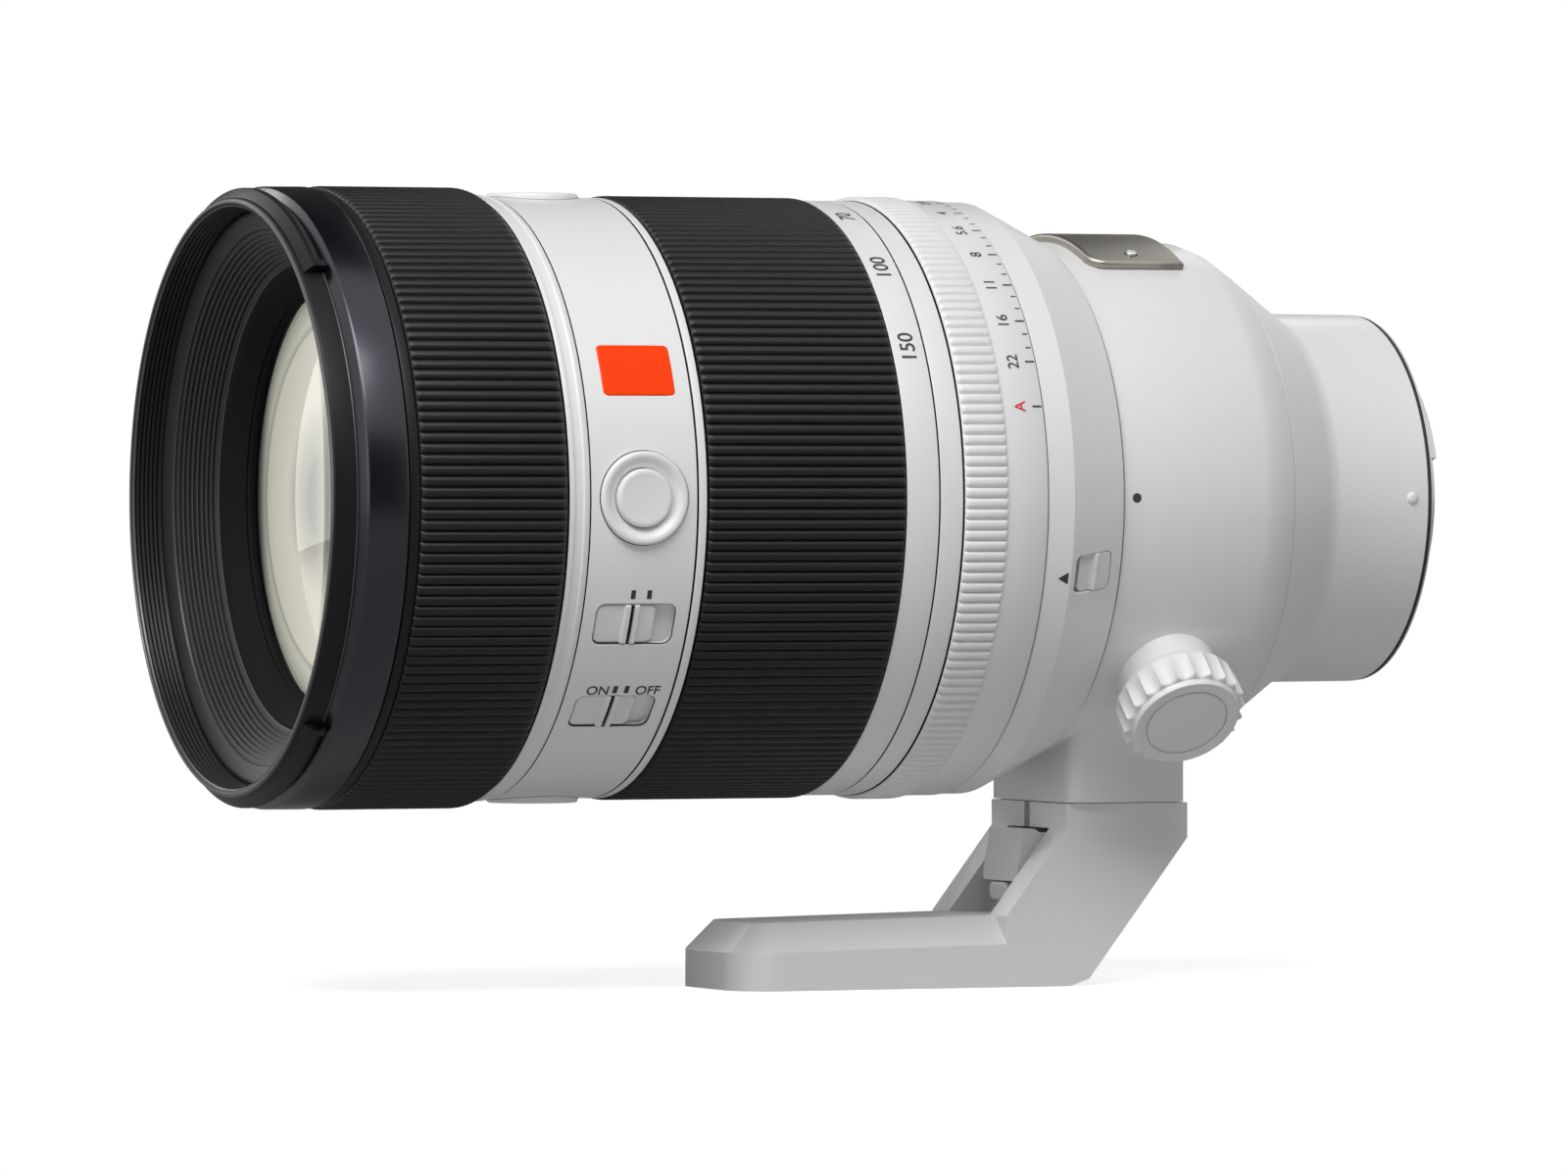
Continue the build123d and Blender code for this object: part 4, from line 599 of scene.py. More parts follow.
def refined(
    node, finish, name, sharp=30.0, bevel=0.0, segments=2, body="barrel", reshape=None
):
    """Copy of a CAD node with its loose triangles merged, smooth but for sharp edges.

    bevel rounds those edges, in mm. reshape is called with the corner points in mm and gives them back
    moved.
    """
    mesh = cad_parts[node].data.copy()
    mesh.name = name
    shell = bmesh.new()
    shell.from_mesh(mesh)
    bmesh.ops.remove_doubles(shell, verts=shell.verts, dist=1e-6)
    if bevel:
        flat = math.radians(0.6)
        bmesh.ops.dissolve_limit(shell, angle_limit=flat, verts=shell.verts, edges=shell.edges)
    shell.to_mesh(mesh)
    shell.free()
    if reshape:
        co = np.empty(len(mesh.vertices) * 3)
        mesh.vertices.foreach_get("co", co)
        mesh.vertices.foreach_set("co", (reshape(co.reshape(-1, 3) * 1000.0) / 1000.0).ravel())
        mesh.update()
    mesh.polygons.foreach_set("use_smooth", np.ones(len(mesh.polygons), bool))
    mesh.set_sharp_from_angle(angle=math.radians(sharp))
    mesh.materials.clear()
    mesh.materials.append(finish)
    piece = bpy.data.objects.new(name, mesh)
    scene.collection.objects.link(piece)
    if bevel:
        edge = piece.modifiers.new("edge_round", "BEVEL")
        edge.width = bevel / 1000.0
        edge.segments = segments
        edge.limit_method = "ANGLE"
        edge.angle_limit = math.radians(38.0)
        edge.harden_normals = False
    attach(piece, body)
    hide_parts(node)
    return piece


def turned_shading(mesh, wall_finish):
    """Exact shading for a mesh cut from turned surfaces, and a finish for its two end walls.

    A corner's normal is (n_x, sqrt(1 - n_x^2) * radial direction) where its face looks outwards, so
    that the long thin triangles round a cut-out shade like the turned surface that they lie on.
    """
    count = len(mesh.loops)
    corner_vertex = np.empty(count, np.int32)
    mesh.loops.foreach_get("vertex_index", corner_vertex)
    co = np.empty(len(mesh.vertices) * 3)
    mesh.vertices.foreach_get("co", co)
    co = co.reshape(-1, 3)[corner_vertex]
    face_normal = np.empty(len(mesh.polygons) * 3)
    mesh.polygons.foreach_get("normal", face_normal)
    face_normal = face_normal.reshape(-1, 3)
    sides = np.empty(len(mesh.polygons), np.int32)
    mesh.polygons.foreach_get("loop_total", sides)
    starts = np.empty(len(mesh.polygons), np.int32)
    mesh.polygons.foreach_get("loop_start", starts)
    corners = np.concatenate([np.arange(a, a + b) for a, b in zip(starts, sides)])
    face_of = np.empty(count, np.int32)
    face_of[corners] = np.repeat(np.arange(len(sides)), sides)
    corner_normals = np.empty(count * 3)
    mesh.corner_normals.foreach_get("vector", corner_normals)
    corner_normals = corner_normals.reshape(-1, 3)
    axis = np.array([1.0, 0.0, 0.0])
    radial = co * np.array([0.0, 1.0, 1.0])
    radial /= np.maximum(np.linalg.norm(radial, axis=1), 1e-9)[:, None]
    given = face_normal[face_of]
    along = given[:, :1]
    outward = (given * radial).sum(axis=1)
    sideways = np.linalg.norm(given - along * axis - outward[:, None] * radial, axis=1)
    turned_face = (sideways < 0.16) & (outward > 0.3)
    exact = along * axis + np.sqrt(1.0 - np.clip(along, -1, 1) ** 2) * radial
    mesh.normals_split_custom_set(np.where(turned_face[:, None], exact, corner_normals).tolist())
    mesh.materials.append(wall_finish)
    end_depth = 0.0003
    station = np.add.reduceat(co[:, 0], starts) / sides
    at_end = (station < co[:, 0].min() + end_depth) | (station > co[:, 0].max() - end_depth)
    walls = (np.abs(face_normal[:, 0]) > 0.93) & at_end
    mesh.polygons.foreach_set("material_index", walls.astype(np.int32))
    mesh.update()


def sink_bosses(points):
    """Lowers the tops of the three button bosses, so that each leaves a round well 7.75 mm in radius."""
    well_radius, well_floor = 7.75, 48.7
    for clock in button_clocks.values():
        spoke = math.radians(clock)
        outward = np.array([0.0, -math.sin(spoke), math.cos(spoke)])
        height = points @ outward
        middle = np.array([button_station - rim_station, 0.0, 0.0])
        reach = points - height[:, None] * outward - middle
        top = (np.linalg.norm(reach, axis=1) < well_radius) & (height > 49.9)
        points = points - np.where(top, height - well_floor, 0.0)[:, None] * outward
    return points


switch_cover = refined(
    "switch_cover", white_paint, "switch_cover_shell", reshape=sink_bosses
)
turned_shading(switch_cover.data, black_anodised)

# Window frames: the edge of the sprayed cover round each switch window, a small round rather than a
# sharp corner, and a black ring inside it, painted shade of the gap between it and the slider.
switch_clocks = {"mode": 114.3, "override": 134.3}
window_size = (13.9, 7.2)
window_corner = 1.5


def rounded_outline(length, width, corner, steps=7):
    """Points and outward directions of a rectangle with rounded corners, in mm about its middle."""
    turn = np.linspace(0.0, math.pi / 2, steps)
    quarter = [turn + k * math.pi / 2 for k in range(4)]
    middles = [(1, 1), (-1, 1), (-1, -1), (1, -1)]
    points, ways = [], []
    for (a, b), t in zip(middles, quarter):
        way = np.stack([np.cos(t), np.sin(t)], axis=1)
        points.append(np.array([a * (length / 2 - corner), b * (width / 2 - corner)]) + corner * way)
        ways.append(way)
    return np.vstack(points), np.vstack(ways)


def framed(name, station, clock, size, corner, section, finish, body, steps=7):
    """Section (o, r) in mm carried round a rounded rectangle on the cover.

    o goes outwards from the rectangle's outline, and r is the radius from the lens axis.
    """
    outline, way = rounded_outline(size[0], size[1], corner, steps)
    section = np.asarray(section, float)
    place = outline[:, None, :] + section[None, :, :1] * way[:, None, :]
    turn = math.radians(clock) - place[..., 1] / cover_radius
    radius = np.broadcast_to(section[None, :, 1], turn.shape)
    points = on_barrel(station + place[..., 0], turn, radius)
    return put(name, points, grid_faces(len(outline), len(section), True, True), finish, body, 50.0)


# Dull black for the slots, and for the painted shade in the gaps round the sliders, the bosses and between
# the rings.
gap_shade_black = finish_of(
    "gap_shade_black", (0.006, 0.006, 0.006), 0.5, shift=0.2, scale=3000.0, Specular_IOR_Level=0.2
)
window_section = [
    (0.5, 49.555), (0.3, 49.575), (0.16, 49.57), (0.06, 49.52), (0.0, 49.42), (-0.03, 49.28),
    (-0.03, 48.45), (0.5, 48.45),
]
# The black ring is painted shade of the gap round the slider.
shadow_gap_section = [(-0.01, 49.44), (-0.13, 49.44), (-0.13, 49.24), (-0.01, 49.24)]
for place, clock in switch_clocks.items():
    for part_name, section, finish in (
        ("frame", window_section, white_paint),
        ("gap", shadow_gap_section, gap_shade_black),
    ):
        framed(
            f"{place}_window_{part_name}", button_station, clock, window_size, window_corner, section,
            finish, "barrel",
        )

# Badge: a small bare plate of glossy orange plastic, moulded, and laid in a shallow recess of the cover
# with a rounded frame.
badge_station = button_station + 0.3
badge_clock = 65.4
badge_size = (12.5, 8.9)
badge_orange = finish_of(
    "orange_plastic", (1.0, 0.055, 0.002), 0.30, shift=0.02, rough_shift=0.04, scale=700.0,
    depth=0.000001, Specular_IOR_Level=0.12,
)


def wrapped_pad(
    name, station, clock, size, corner, floor, height, finish, body,
    extra=(), round_edge=0.25, rows=25, side=None,
):
    """Solid wrapped on the cover over a rounded rectangle.

    Its radius is height(u, v) less a quarter round at its outline. u goes along the axis and v round
    the barrel, in mm from the middle. extra lists further values of u, and side is the finish of the
    side walls.
    """
    length, width = size
    sweep = np.linspace(-math.pi / 2, math.pi / 2, 33)
    u = np.concatenate([length / 2 * np.sin(sweep), np.asarray(extra, float)])
    u = np.unique(np.round(u, 4))
    into = np.clip(np.abs(u) - (length / 2 - corner), 0.0, corner)
    half = width / 2 - corner + np.sqrt(np.maximum(corner**2 - into**2, 0.0))
    v = half[:, None] * np.sin(np.linspace(-math.pi / 2, math.pi / 2, rows))[None, :]
    grid_u = np.broadcast_to(u[:, None], v.shape)
    inset = np.minimum(half[:, None] - np.abs(v), length / 2 - np.abs(grid_u))
    from_top = np.clip(round_edge - inset, 0.0, round_edge)
    drop = round_edge - np.sqrt(np.maximum(round_edge**2 - from_top**2, 0.0))
    top = height(grid_u, v) - drop
    turn = math.radians(clock) - v / cover_radius
    points = np.stack([on_barrel(station + grid_u, turn, top), on_barrel(station + grid_u, turn, floor)])
    m, n = v.shape
    upper = grid_faces(m, n, False, False)
    faces = [tuple(f) for f in upper] + [tuple(f + m * n) for f in upper[:, ::-1]]
    border = np.concatenate([
        np.arange(n), np.arange(1, m) * n + n - 1, (m - 1) * n + np.arange(n - 2, -1, -1),
        np.arange(m - 2, 0, -1) * n,
    ])
    after = np.roll(border, -1)
    faces += [tuple(f) for f in np.stack([border, after, after + m * n, border + m * n], axis=1)]
    pad = put(name, points, faces, finish, body, 50.0)
    if side:
        pad.data.materials.append(side)
        which = np.r_[np.zeros(2 * len(upper), int), np.ones(len(border), int)]
        pad.data.polygons.foreach_set("material_index", which)
    return pad


badge = wrapped_pad(
    "badge", badge_station, badge_clock, badge_size, 0.8, 49.1, lambda u, v: 49.68 + 0.0 * u,
    badge_orange, "barrel", round_edge=0.16,
)
stands_for("badge_plate")
badge_section = [
    (0.35, 49.55), (0.2, 49.575), (0.08, 49.56), (0.0, 49.48), (-0.02, 49.3), (0.35, 49.3)
]
framed(
    "badge_frame", badge_station, badge_clock, (12.66, 9.06), 0.88, badge_section, white_paint, "barrel"
)

# Focus hold buttons: three sprung caps of moulded white plastic, each a shallow dish with a rounded
# edge, in a raised boss of the cover.
button_plastic = finish_of(
    "white_button_plastic", (0.78, 0.78, 0.775), 0.42, shift=0.03, rough_shift=0.08, scale=1800.0,
    depth=0.000004,
)


def radial_turned(
    name, outline, station, clock, finish, body, columns=72, wave=None, weights=None, sharp=35.0
):
    """Solid turned about a spoke of the barrel: outline (r, h) in mm, r from the spoke and h from the axis.

    The outline runs from the spoke round the solid and back to it, or is closed for a ring that stays
    off the spoke. wave adds weight * wave(turn) to r.
    """
    outline = np.asarray(outline, float)
    turn = np.linspace(0.0, 2 * math.pi, columns, endpoint=False)
    reach = np.repeat(outline[:, :1], columns, axis=1)
    if wave is not None:
        reach = reach + np.asarray(weights, float)[:, None] * np.asarray(wave)[None, :]
    height = np.repeat(outline[:, 1:2], columns, axis=1)
    spoke = math.radians(clock)
    outward = np.array([0.0, -math.sin(spoke), math.cos(spoke)])
    across = np.array([0.0, -math.cos(spoke), -math.sin(spoke)])
    along = np.array([1.0, 0.0, 0.0])
    centre = np.array([station - rim_station, 0.0, 0.0])
    points = (
        centre
        + (reach * np.cos(turn))[..., None] * along
        + (reach * np.sin(turn))[..., None] * across
        + height[..., None] * outward
    ) / 1000.0
    count = len(outline)
    if outline[0, 0] > 0:
        return put(name, points, grid_faces(count, columns, True, True), finish, body, sharp)
    inside = points[1:-1].reshape(-1, 3)
    poles = np.array([points[0, 0], points[-1, 0]])
    faces = [tuple(f) for f in grid_faces(count - 2, columns, False, True)]
    ring = np.arange(columns)
    first, last = (count - 2) * columns, (count - 3) * columns
    faces += [(first, int(a), int(b)) for a, b in zip(ring, np.roll(ring, -1))]
    faces += [(first + 1, int(last + b), int(last + a)) for a, b in zip(ring, np.roll(ring, -1))]
    return put(name, np.vstack([inside, poles]), faces, finish, body, sharp)


cap_outline = [
    (0.0, 47.3), (5.3, 47.3), (5.3, 47.9), (4.74, 47.9), (4.74, 49.8), (4.68, 50.0), (4.52, 50.16),
    (4.28, 50.25), (3.95, 50.27), (3.6, 50.23), (3.2, 50.19), (2.4, 50.16), (1.2, 50.15), (0.0, 50.15),
]
boss_outline = [
    (4.95, 48.4), (4.95, 49.12), (5.1, 49.22), (5.4, 49.36), (5.8, 49.6), (6.15, 49.88), (6.45, 50.07),
    (6.8, 50.17), (7.1, 50.17), (7.35, 50.08), (7.5, 49.93), (7.57, 49.7), (7.57, 48.4),
]
# A black ring in the gap round each boss is painted shade of that gap.
boss_shade_radius = 7.65
boss_shade_section = [(-0.1, 49.0), (-0.1, 49.59), (0.08, 49.59), (0.08, 49.0)]
for place, clock in button_clocks.items():
    cap = radial_turned(
        f"hold_cap_{place}", cap_outline, button_station, clock, button_plastic, f"hold_{place}"
    )
    stands_for(f"focus_hold_button_{place}")
    radial_turned(
        f"hold_boss_{place}", boss_outline, button_station, clock, white_paint, "barrel", sharp=50.0
    )
    framed(
        f"hold_boss_shade_{place}", button_station, clock, (2 * boss_shade_radius, 2 * boss_shade_radius),
        boss_shade_radius, boss_shade_section, gap_shade_black, "barrel", steps=30,
    )

# Sliding switches and the lock slider: small mouldings of white plastic that run in slots behind the
# cover, with a double rail across them for the fingertip.
slider_station = 51.6
rail_at = 0.9
rail_half = 1.4
rail_u = rail_at + np.array([
    -1.4, -1.33, -1.25, -1.17, -1.1, -0.9, -0.6, -0.37, -0.35, 0.35, 0.37, 0.6, 0.9, 1.1, 1.17, 1.25,
    1.33, 1.4,
])


def slider_height(u, v):
    """Radius of a switch slider: a shallow dish with a raised double rail and a slot between the rails."""
    from_rail = np.abs(u - rail_at)
    rail = np.clip((rail_half - from_rail) / 0.3, 0.0, 1.0)
    rail = rail * rail * (3.0 - 2.0 * rail)
    slot = np.where(from_rail < 0.36, 0.7, 0.0)
    return 49.2 + 0.02 * np.abs(u) + 0.6 * rail - slot


# The black side walls of each slider are painted shade of the gap round it.
for place, node, body in (
    ("mode", "focus_mode_switch", "mode_switch"),
    ("override", "override_switch", "override"),
):
    clock = switch_clocks[place]
    slider = wrapped_pad(
        f"{place}_slider", slider_station, clock, (10.3, 6.86), 1.3, 48.5, slider_height, button_plastic,
        body, extra=rail_u, round_edge=0.3, side=gap_shade_black,
    )
    stands_for(node)
    wrapped_pad(
        f"{place}_slider_slot", slider_station + rail_at, clock, (0.7, 6.3), 0.05, 48.9,
        lambda u, v: 49.35 + 0.0 * u, gap_shade_black, body, round_edge=0.04, rows=9,
    )
refined(
    "iris_lock_switch", button_plastic, "lock_slider", bevel=0.15, body="iris_lock"
)

# Printed marks: dark grey ink pad-printed on the paint, and a red letter for the automatic setting. Only
# plain numbers, ON and OFF, ticks and a pointer are printed.
dark_ink = finish_of("dark_ink", (0.030, 0.030, 0.032), 0.5, shift=0.2, scale=3000.0, depth=0.000002)
red_ink = finish_of("red_ink", (0.60, 0.03, 0.03), 0.5, shift=0.1, scale=3000.0, depth=0.000002)
ink_lift = 0.03
capital_share = 0.70


def printed(name, words, height, station, clock, radius, finish, body, upright=False):
    """Words wrapped on the barrel: across goes along the axis, up goes round it by up / radius.

    height is the capital height in mm. Unless upright, the words read upwards, tops to the front.
    """
    font = bpy.data.curves.new(name, "FONT")
    font.body = words
    font.offset = 0.014
    font.size = 1.0
    font.align_x = "CENTER"
    font.align_y = "CENTER"
    holder = bpy.data.objects.new(name + "_curve", font)
    scene.collection.objects.link(holder)
    settled = holder.evaluated_get(bpy.context.evaluated_depsgraph_get())
    flat = bpy.data.meshes.new_from_object(settled)
    bpy.data.objects.remove(holder)
    co = np.empty(len(flat.vertices) * 3)
    flat.vertices.foreach_get("co", co)
    co = co.reshape(-1, 3) * (height / capital_share)
    across, up = co[:, 0], co[:, 1]
    if not upright:
        across, up = -up, across
    wrapped = on_barrel(station + across, math.radians(clock) - up / radius, radius + ink_lift)
    flat.vertices.foreach_set("co", wrapped.ravel())
    flat.update()
    flat.materials.append(finish)
    piece = bpy.data.objects.new(name, flat)
    scene.collection.objects.link(piece)
    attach(piece, body)
    return piece


def inked(name, boxes, radius, finish, body):
    """Printed bars in one piece: each box is (station, clock degrees, length along, width round) in mm."""
    points, faces = [], []
    for station, clock, length, width in boxes:
        u = np.array([-1, 1, 1, -1]) * length / 2
        v = np.array([-1, -1, 1, 1]) * width / 2
        points.append(on_barrel(station + u, math.radians(clock) - v / radius, radius + ink_lift))
        faces.append(tuple(range(len(points) * 4 - 4, len(points) * 4)))
    return put(name, np.vstack(points), faces, finish, body, closed=False)


for place, clock, stations in (("mode", 108.3, (52.3, 55.1)), ("override", 128.7, (52.5, 54.5))):
    bars = [(station, clock, 0.8, 1.5) for station in stations]
    inked(f"{place}_ticks", bars, cover_radius, dark_ink, "barrel")
for place, words, station in (("on", "ON", 49.5), ("off", "OFF", 58.2)):
    printed(
        f"override_{place}", words, 1.75, station, 129.0, cover_radius, dark_ink, "barrel", upright=True
    )

# Zoom ring: aluminium carrier with a painted number band, and a ribbed rubber sleeve stretched over its
# front. It turns 60 degrees.
band_radius = 49.5
zoom_band_outline = eased(
    [
        (64.35, 46.7), (64.35, 48.3), (99.25, 48.3), (99.25, band_radius), (104.95, band_radius),
        (104.95, 46.7),
    ],
    0.15,
)
zoom_band = turned("zoom_number_band", zoom_band_outline, white_paint, "zoom", ends=black_anodised)
stands_for("zoom_ring")
zoom_rows = [
    (64.4, 48.35, 0.0), (64.4, 49.2, 0.0), (64.6, 49.6, 0.3), (65.0, 49.85, 0.8), (65.5, 49.9, 1.0),
    (82.0, 49.9, 1.0), (98.0, 49.9, 1.0), (98.6, 49.85, 0.8), (99.0, 49.6, 0.3), (99.2, 49.2, 0.0),
    (99.2, 48.35, 0.0),
]
zoom_sleeve = ribbed_sleeve("zoom_sleeve", zoom_rows, ribbed_rubber, "zoom")
stands_for("zoom_grip")
for number, clock in (("50", 0.0), ("70", 20.0), ("100", 40.2), ("150", 60.2)):
    printed(f"zoom_number_{number}", number, 2.6, 102.2, clock, band_radius, dark_ink, "zoom")

# Index ring, aperture ring and its scale: white painted aluminium. The fixed ring carries the pointer
# line of the zoom scale. The aperture ring is knurled in front and numbered behind, and clicks over 72
# degrees.
index_outline = eased([(105.2, 46.6), (105.2, band_radius), (109.2, band_radius), (109.2, 46.6)], 0.18)
index_ring = turned("index_ring_band", index_outline, white_paint, "barrel", ends=black_anodised)
stands_for("index_ring")
inked("zoom_index", [(107.0, 0.0, 2.6, 0.35)], band_radius, dark_ink, "barrel")
scale_radius = 49.7
knurl_depth = 0.6
aperture_rows = np.array([
    (109.45, 46.7, 0.0), (109.45, 49.6, 0.0), (109.6, 49.85, 0.2), (109.9, 50.1, 0.8),
    (110.3, 50.2, 1.0), (116.5, 50.2, 1.0), (116.8, 50.1, 0.8), (117.0, 49.85, 0.2),
    (117.15, 49.72, 0.0), (117.6, scale_radius, 0.0), (124.1, scale_radius, 0.0), (124.25, 49.6, 0.0),
    (124.25, 46.7, 0.0),
])
aperture_ring = turned(
    "aperture_ring_knurled", aperture_rows[:, :2], white_paint, "aperture", columns=len(rib_ring),
    ribs=rib_ring * knurl_depth, weights=aperture_rows[:, 2], sharp=60.0, ends=black_anodised,
)
stands_for("aperture_ring")
number_step = 9.05
auto_clock = 72.5
aperture_ticks = []
for stop, number in enumerate(("2", "2.8", "4", "5.6", "8", "11", "16", "22")):
    clock = stop * number_step
    printed(f"aperture_number_{number}", number, 1.9, 120.3, clock, scale_radius, dark_ink, "aperture")
    aperture_ticks.append((123.2, clock, 1.6, 0.36))
    if number != "22":
        aperture_ticks += [(123.5, clock + number_step * part / 3, 0.9, 0.27) for part in (1, 2)]
aperture_ticks.append((123.2, auto_clock, 1.6, 0.36))
inked("aperture_ticks", aperture_ticks, scale_radius, dark_ink, "aperture")
printed("aperture_auto", "A", 1.9, 120.3, auto_clock, scale_radius, red_ink, "aperture")

# Seams: between each two rings a black ring lies in a groove and stays a little below the painted
# faces. It is painted shade of the gap between the rings.
seam_places = (
    (12.4, 12.65, 50.0), (39.85, 40.1, 49.3), (43.75, 44.1, 49.2), (62.4, 62.75, 49.2),
    (64.1, 64.35, 49.0), (104.95, 105.2, 49.0), (109.2, 109.45, 49.0), (124.25, 124.5, 49.0),
    (140.36, 140.72, 43.45), (173.6, 173.85, 38.7),
)
for number, (front, rear, height) in enumerate(seam_places):
    shade_floor = height - 1.2
    seam_shade = eased([(front, shade_floor), (front, height), (rear, height), (rear, shade_floor)], 0.03)
    turned(f"seam_painted_shade_{number}", seam_shade, gap_shade_black, "barrel", columns=200)

# Rear barrel: cast and turned aluminium, painted white, with a shoulder and a cone, the recess of the
# lock slider, and the journal under the collar.
rear_barrel = refined("rear_barrel", white_paint, "rear_barrel_shell")
turned_shading(rear_barrel.data, black_anodised)
inked("aperture_index", [(126.2, 0.0, 2.2, 0.35)], 49.5, dark_ink, "barrel")
pointer_stations = 127.75 + np.array([-0.9, 0.9, 0.9])
pointer_turns = math.radians(105.4) + np.array([0.0, 1.0, -1.0]) / 49.5
pointer_points = on_barrel(pointer_stations, pointer_turns, 49.54 + ink_lift)
put("lock_pointer", pointer_points, [(0, 1, 2)], dark_ink, "barrel", closed=False)

# Tripod collar: cast magnesium ring with a pad below, painted white. A satin metal plate is held on its
# top by two steel screws, and a printed dot shows when the collar is level.
refined("collar_ring", white_paint, "collar_casting", bevel=0.3, body="collar")
plate_metal = finish_of(
    "satin_plate_metal", (0.36, 0.34, 0.305), 0.36, shift=0.1, rough_shift=0.12, scale=1600.0,
    depth=0.000004, Metallic=1.0,
)
refined("collar_plate", plate_metal, "collar_top_plate", body="collar")
polished_steel = finish_of(
    "polished_steel", (0.72, 0.72, 0.72), 0.2, shift=0.05, rough_shift=0.08, scale=900.0,
    depth=0.000002, Metallic=1.0,
)
refined("collar_plate_screws", polished_steel, "plate_screws", bevel=0.1, body="collar")
collar_radius = 43.0
dot_radius = 0.8
dot_turn = np.linspace(0, 2 * math.pi, 24, endpoint=False)
dot_clock = math.radians(90.0) - dot_radius * np.sin(dot_turn) / collar_radius
dot_points = on_barrel(143.2 + dot_radius * np.cos(dot_turn), dot_clock, collar_radius + ink_lift)
put("collar_index_dot", dot_points, [tuple(range(24))], dark_ink, "collar", closed=False)

# Clamp knob: moulded white knob with 22 scallops, a raised rim and a separate disc in its face, screwed
# on a steel screw that goes through the collar.
knob_station = 153.7
knob_clock = 133.0
scallops = 22
scallop_depth = 0.95
knob_turn = np.linspace(0.0, 2 * math.pi, scallops * 12, endpoint=False)
knob_wave = -scallop_depth * np.abs(np.sin(scallops * knob_turn / 2.0)) ** 0.8
knob_rows = np.array([
    (0.0, 46.6, 0), (3.0, 46.6, 0), (9.0, 46.6, 0), (9.4, 46.8, 0), (9.6, 47.2, 0), (9.75, 47.7, 0),
    (10.3, 48.0, 0.1), (10.45, 48.3, 0.2), (10.5, 48.8, 0.3), (10.5, 51.0, 0.6), (10.5, 52.9, 1),
    (10.45, 53.25, 1), (10.2, 53.45, 0.9), (9.3, 53.55, 0.1), (9.15, 53.8, 0), (9.1, 54.3, 0),
    (8.95, 54.5, 0), (7.25, 54.5, 0), (7.1, 54.42, 0), (7.05, 54.1, 0), (0.0, 54.1, 0),
])
knob = radial_turned(
    "knob_moulding", knob_rows[:, :2], knob_station, knob_clock, button_plastic, "knob",
    columns=len(knob_turn), wave=knob_wave, weights=knob_rows[:, 2], sharp=45.0,
)
stands_for("clamp_knob")
disc_outline = [(0.0, 53.9), (6.8, 53.9), (6.8, 54.3), (6.7, 54.42), (6.5, 54.45), (0.0, 54.45)]
cap_disc = radial_turned("knob_disc", disc_outline, knob_station, knob_clock, button_plastic, "knob")
stands_for("knob_cap")

# Foot: cast magnesium, painted white, with rounded cast edges. Its release lever and lock button are
# mouldings of white plastic, hinged and sprung in the pocket.
refined(
    "foot", white_paint, "foot_casting", bevel=0.8, segments=4, body="foot_body"
)
refined(
    "foot_lever", button_plastic, "foot_lever_moulding", bevel=0.5, segments=3,
    body="lever",
)
refined(
    "foot_lock_button", button_plastic, "foot_lock_cap", bevel=0.2,
    body="foot_lock",
)

# Mount: painted aluminium cone and sleeve with a white index bead, a black rubber seal, and a machined
# bayonet flange held by four steel screws. The contact block behind it is moulded, with gold pads.
sleeve_share = np.linspace(0.0, 1.0, 9)
sleeve_curve = [
    (182.6 + 3.4 * t, (1 - t) ** 2 * 32.95 + 2 * t * (1 - t) * 31.5 + t**2 * 31.2) for t in sleeve_share
]
mount_outline = [
    (173.85, 35.5), (173.85, 38.95), (174.0, 39.1), *sleeve_curve, (202.1, 31.1), (202.35, 30.9),
    (202.4, 24.7), (198.0, 24.7), (198.0, 29.4), (184.4, 29.4), (175.9, 35.4),
]
mount_barrel = turned("mount_barrel_shell", mount_outline, white_paint, "barrel", ends=black_anodised)
stands_for("mount_barrel")
bead_outline = [
    (0.0, 30.6), (1.05, 30.6), (1.05, 31.15), (0.95, 31.4), (0.7, 31.6), (0.35, 31.7), (0.0, 31.73)
]
bead = radial_turned("mount_bead", bead_outline, 199.25, 90.0, button_plastic, "barrel", columns=32)
stands_for("mount_index_bead")


def finished(node, finish):
    """Gives a CAD piece that is shown as it is a finish of its own."""
    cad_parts[node].data.materials.clear()
    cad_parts[node].data.materials.append(finish)


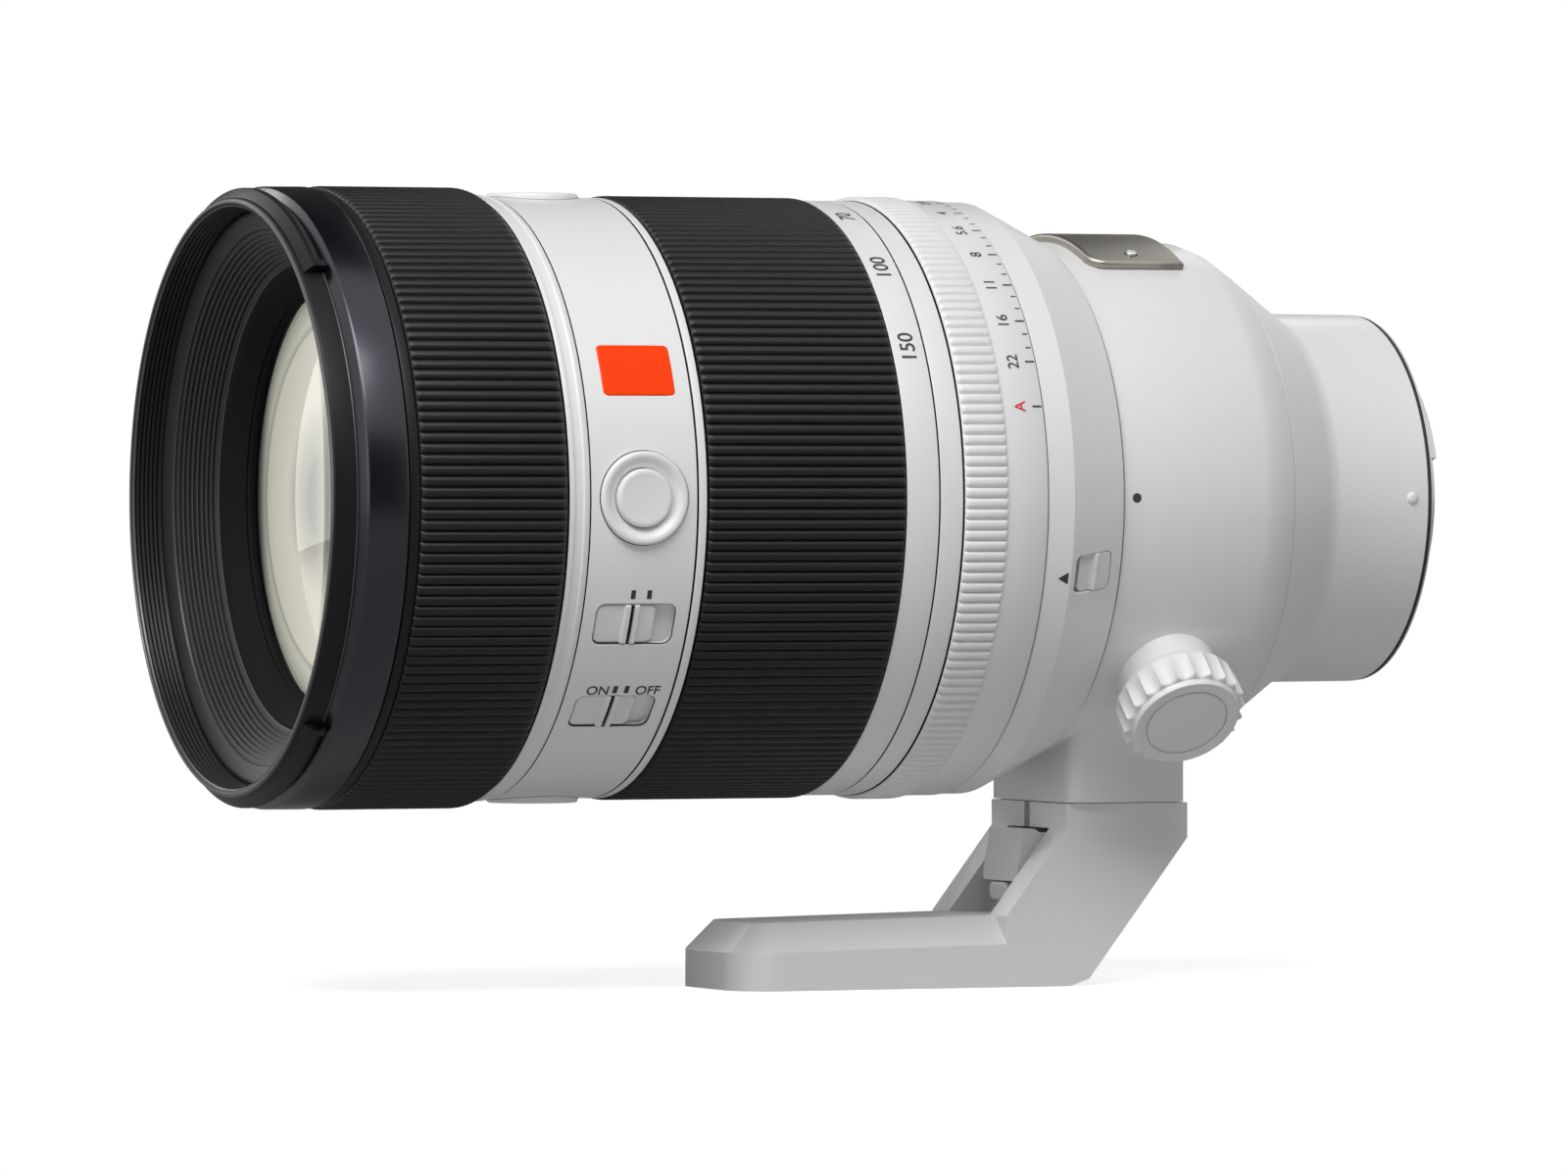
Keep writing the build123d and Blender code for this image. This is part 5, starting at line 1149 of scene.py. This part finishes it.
seal_rubber = finish_of("seal_rubber", (0.012, 0.012, 0.012), 0.6, shift=0.2, scale=1200.0)
finished("mount_seal", seal_rubber)
machined = finish_of(
    "machined_aluminium", (0.56, 0.56, 0.57), 0.34, shift=0.03, rough_shift=0.04, scale=1800.0,
    depth=0.0, Metallic=1.0,
)
refined("mount_flange", machined, "bayonet_flange", sharp=12.0)
refined("mount_screws", polished_steel, "flange_screws")
black_plastic = finish_of(
    "black_plastic", (0.014, 0.014, 0.014), 0.5, shift=0.25, scale=1500.0, depth=0.000008
)
refined("contact_block", black_plastic, "contact_block_moulding", bevel=0.15)
refined("rear_cell", black_plastic, "rear_cell_tube")
rear_glass = lens_solid("rear_glass", 195.6, 199.6, 17.15, 1.6, 2.2, coated_glass, "barrel")
stands_for("rear_element")
gold = finish_of(
    "gold_plate", (0.90, 0.62, 0.25), 0.25, shift=0.05, scale=900.0, depth=0.000001, Metallic=1.0
)
contact_points, contact_faces = [], []
for contact in range(10):
    clock = math.radians(180.0 + (contact - 4.5) * 6.2)
    radii = np.array([19.3, 20.7, 20.7, 19.3])
    turns = clock + np.array([-0.03, -0.03, 0.03, 0.03])
    for station in (206.5, 206.75):
        contact_points.append(on_barrel(station, turns, radii))
    base = contact * 8
    contact_faces += [(base, base + 1, base + 2, base + 3), (base + 4, base + 5, base + 6, base + 7)]
    for k, after in ((0, 1), (1, 2), (2, 3), (3, 0)):
        contact_faces.append((base + k, base + after, base + 4 + after, base + 4 + k))
put("contact_pads", np.vstack(contact_points), contact_faces, gold, "barrel")

# Inner pieces: machined tubes, moulded carriages, the board, the steel parts of the clamp and the iris
# blades. They hardly show, and keep the CAD's own shapes with their finishes.
board_green = finish_of("board_green", (0.02, 0.16, 0.07), 0.45, shift=0.3, scale=400.0, depth=0.00001)
blade_black = finish_of(
    "blade_black", (0.03, 0.03, 0.03), 0.4, shift=0.15, scale=1500.0, depth=0.000002, Metallic=0.6
)
for inner_finish, inner_nodes in (
    (machined, ("front_barrel", "main_barrel", "cam_barrel")),
    (black_anodised, ("front_cell", "variator_carriage")),
    (black_plastic, ("iris_housing", "focus_carriage", "clamp_shoe")),
    (polished_steel, ("iris_drive_ring", "tripod_bush", "lever_pin", "clamp_screw")),
    (board_green, ("main_board",)),
    (blade_black, tuple(f"iris_blade_{k}" for k in range(1, 8))),
):
    for node in inner_nodes:
        finished(node, inner_finish)
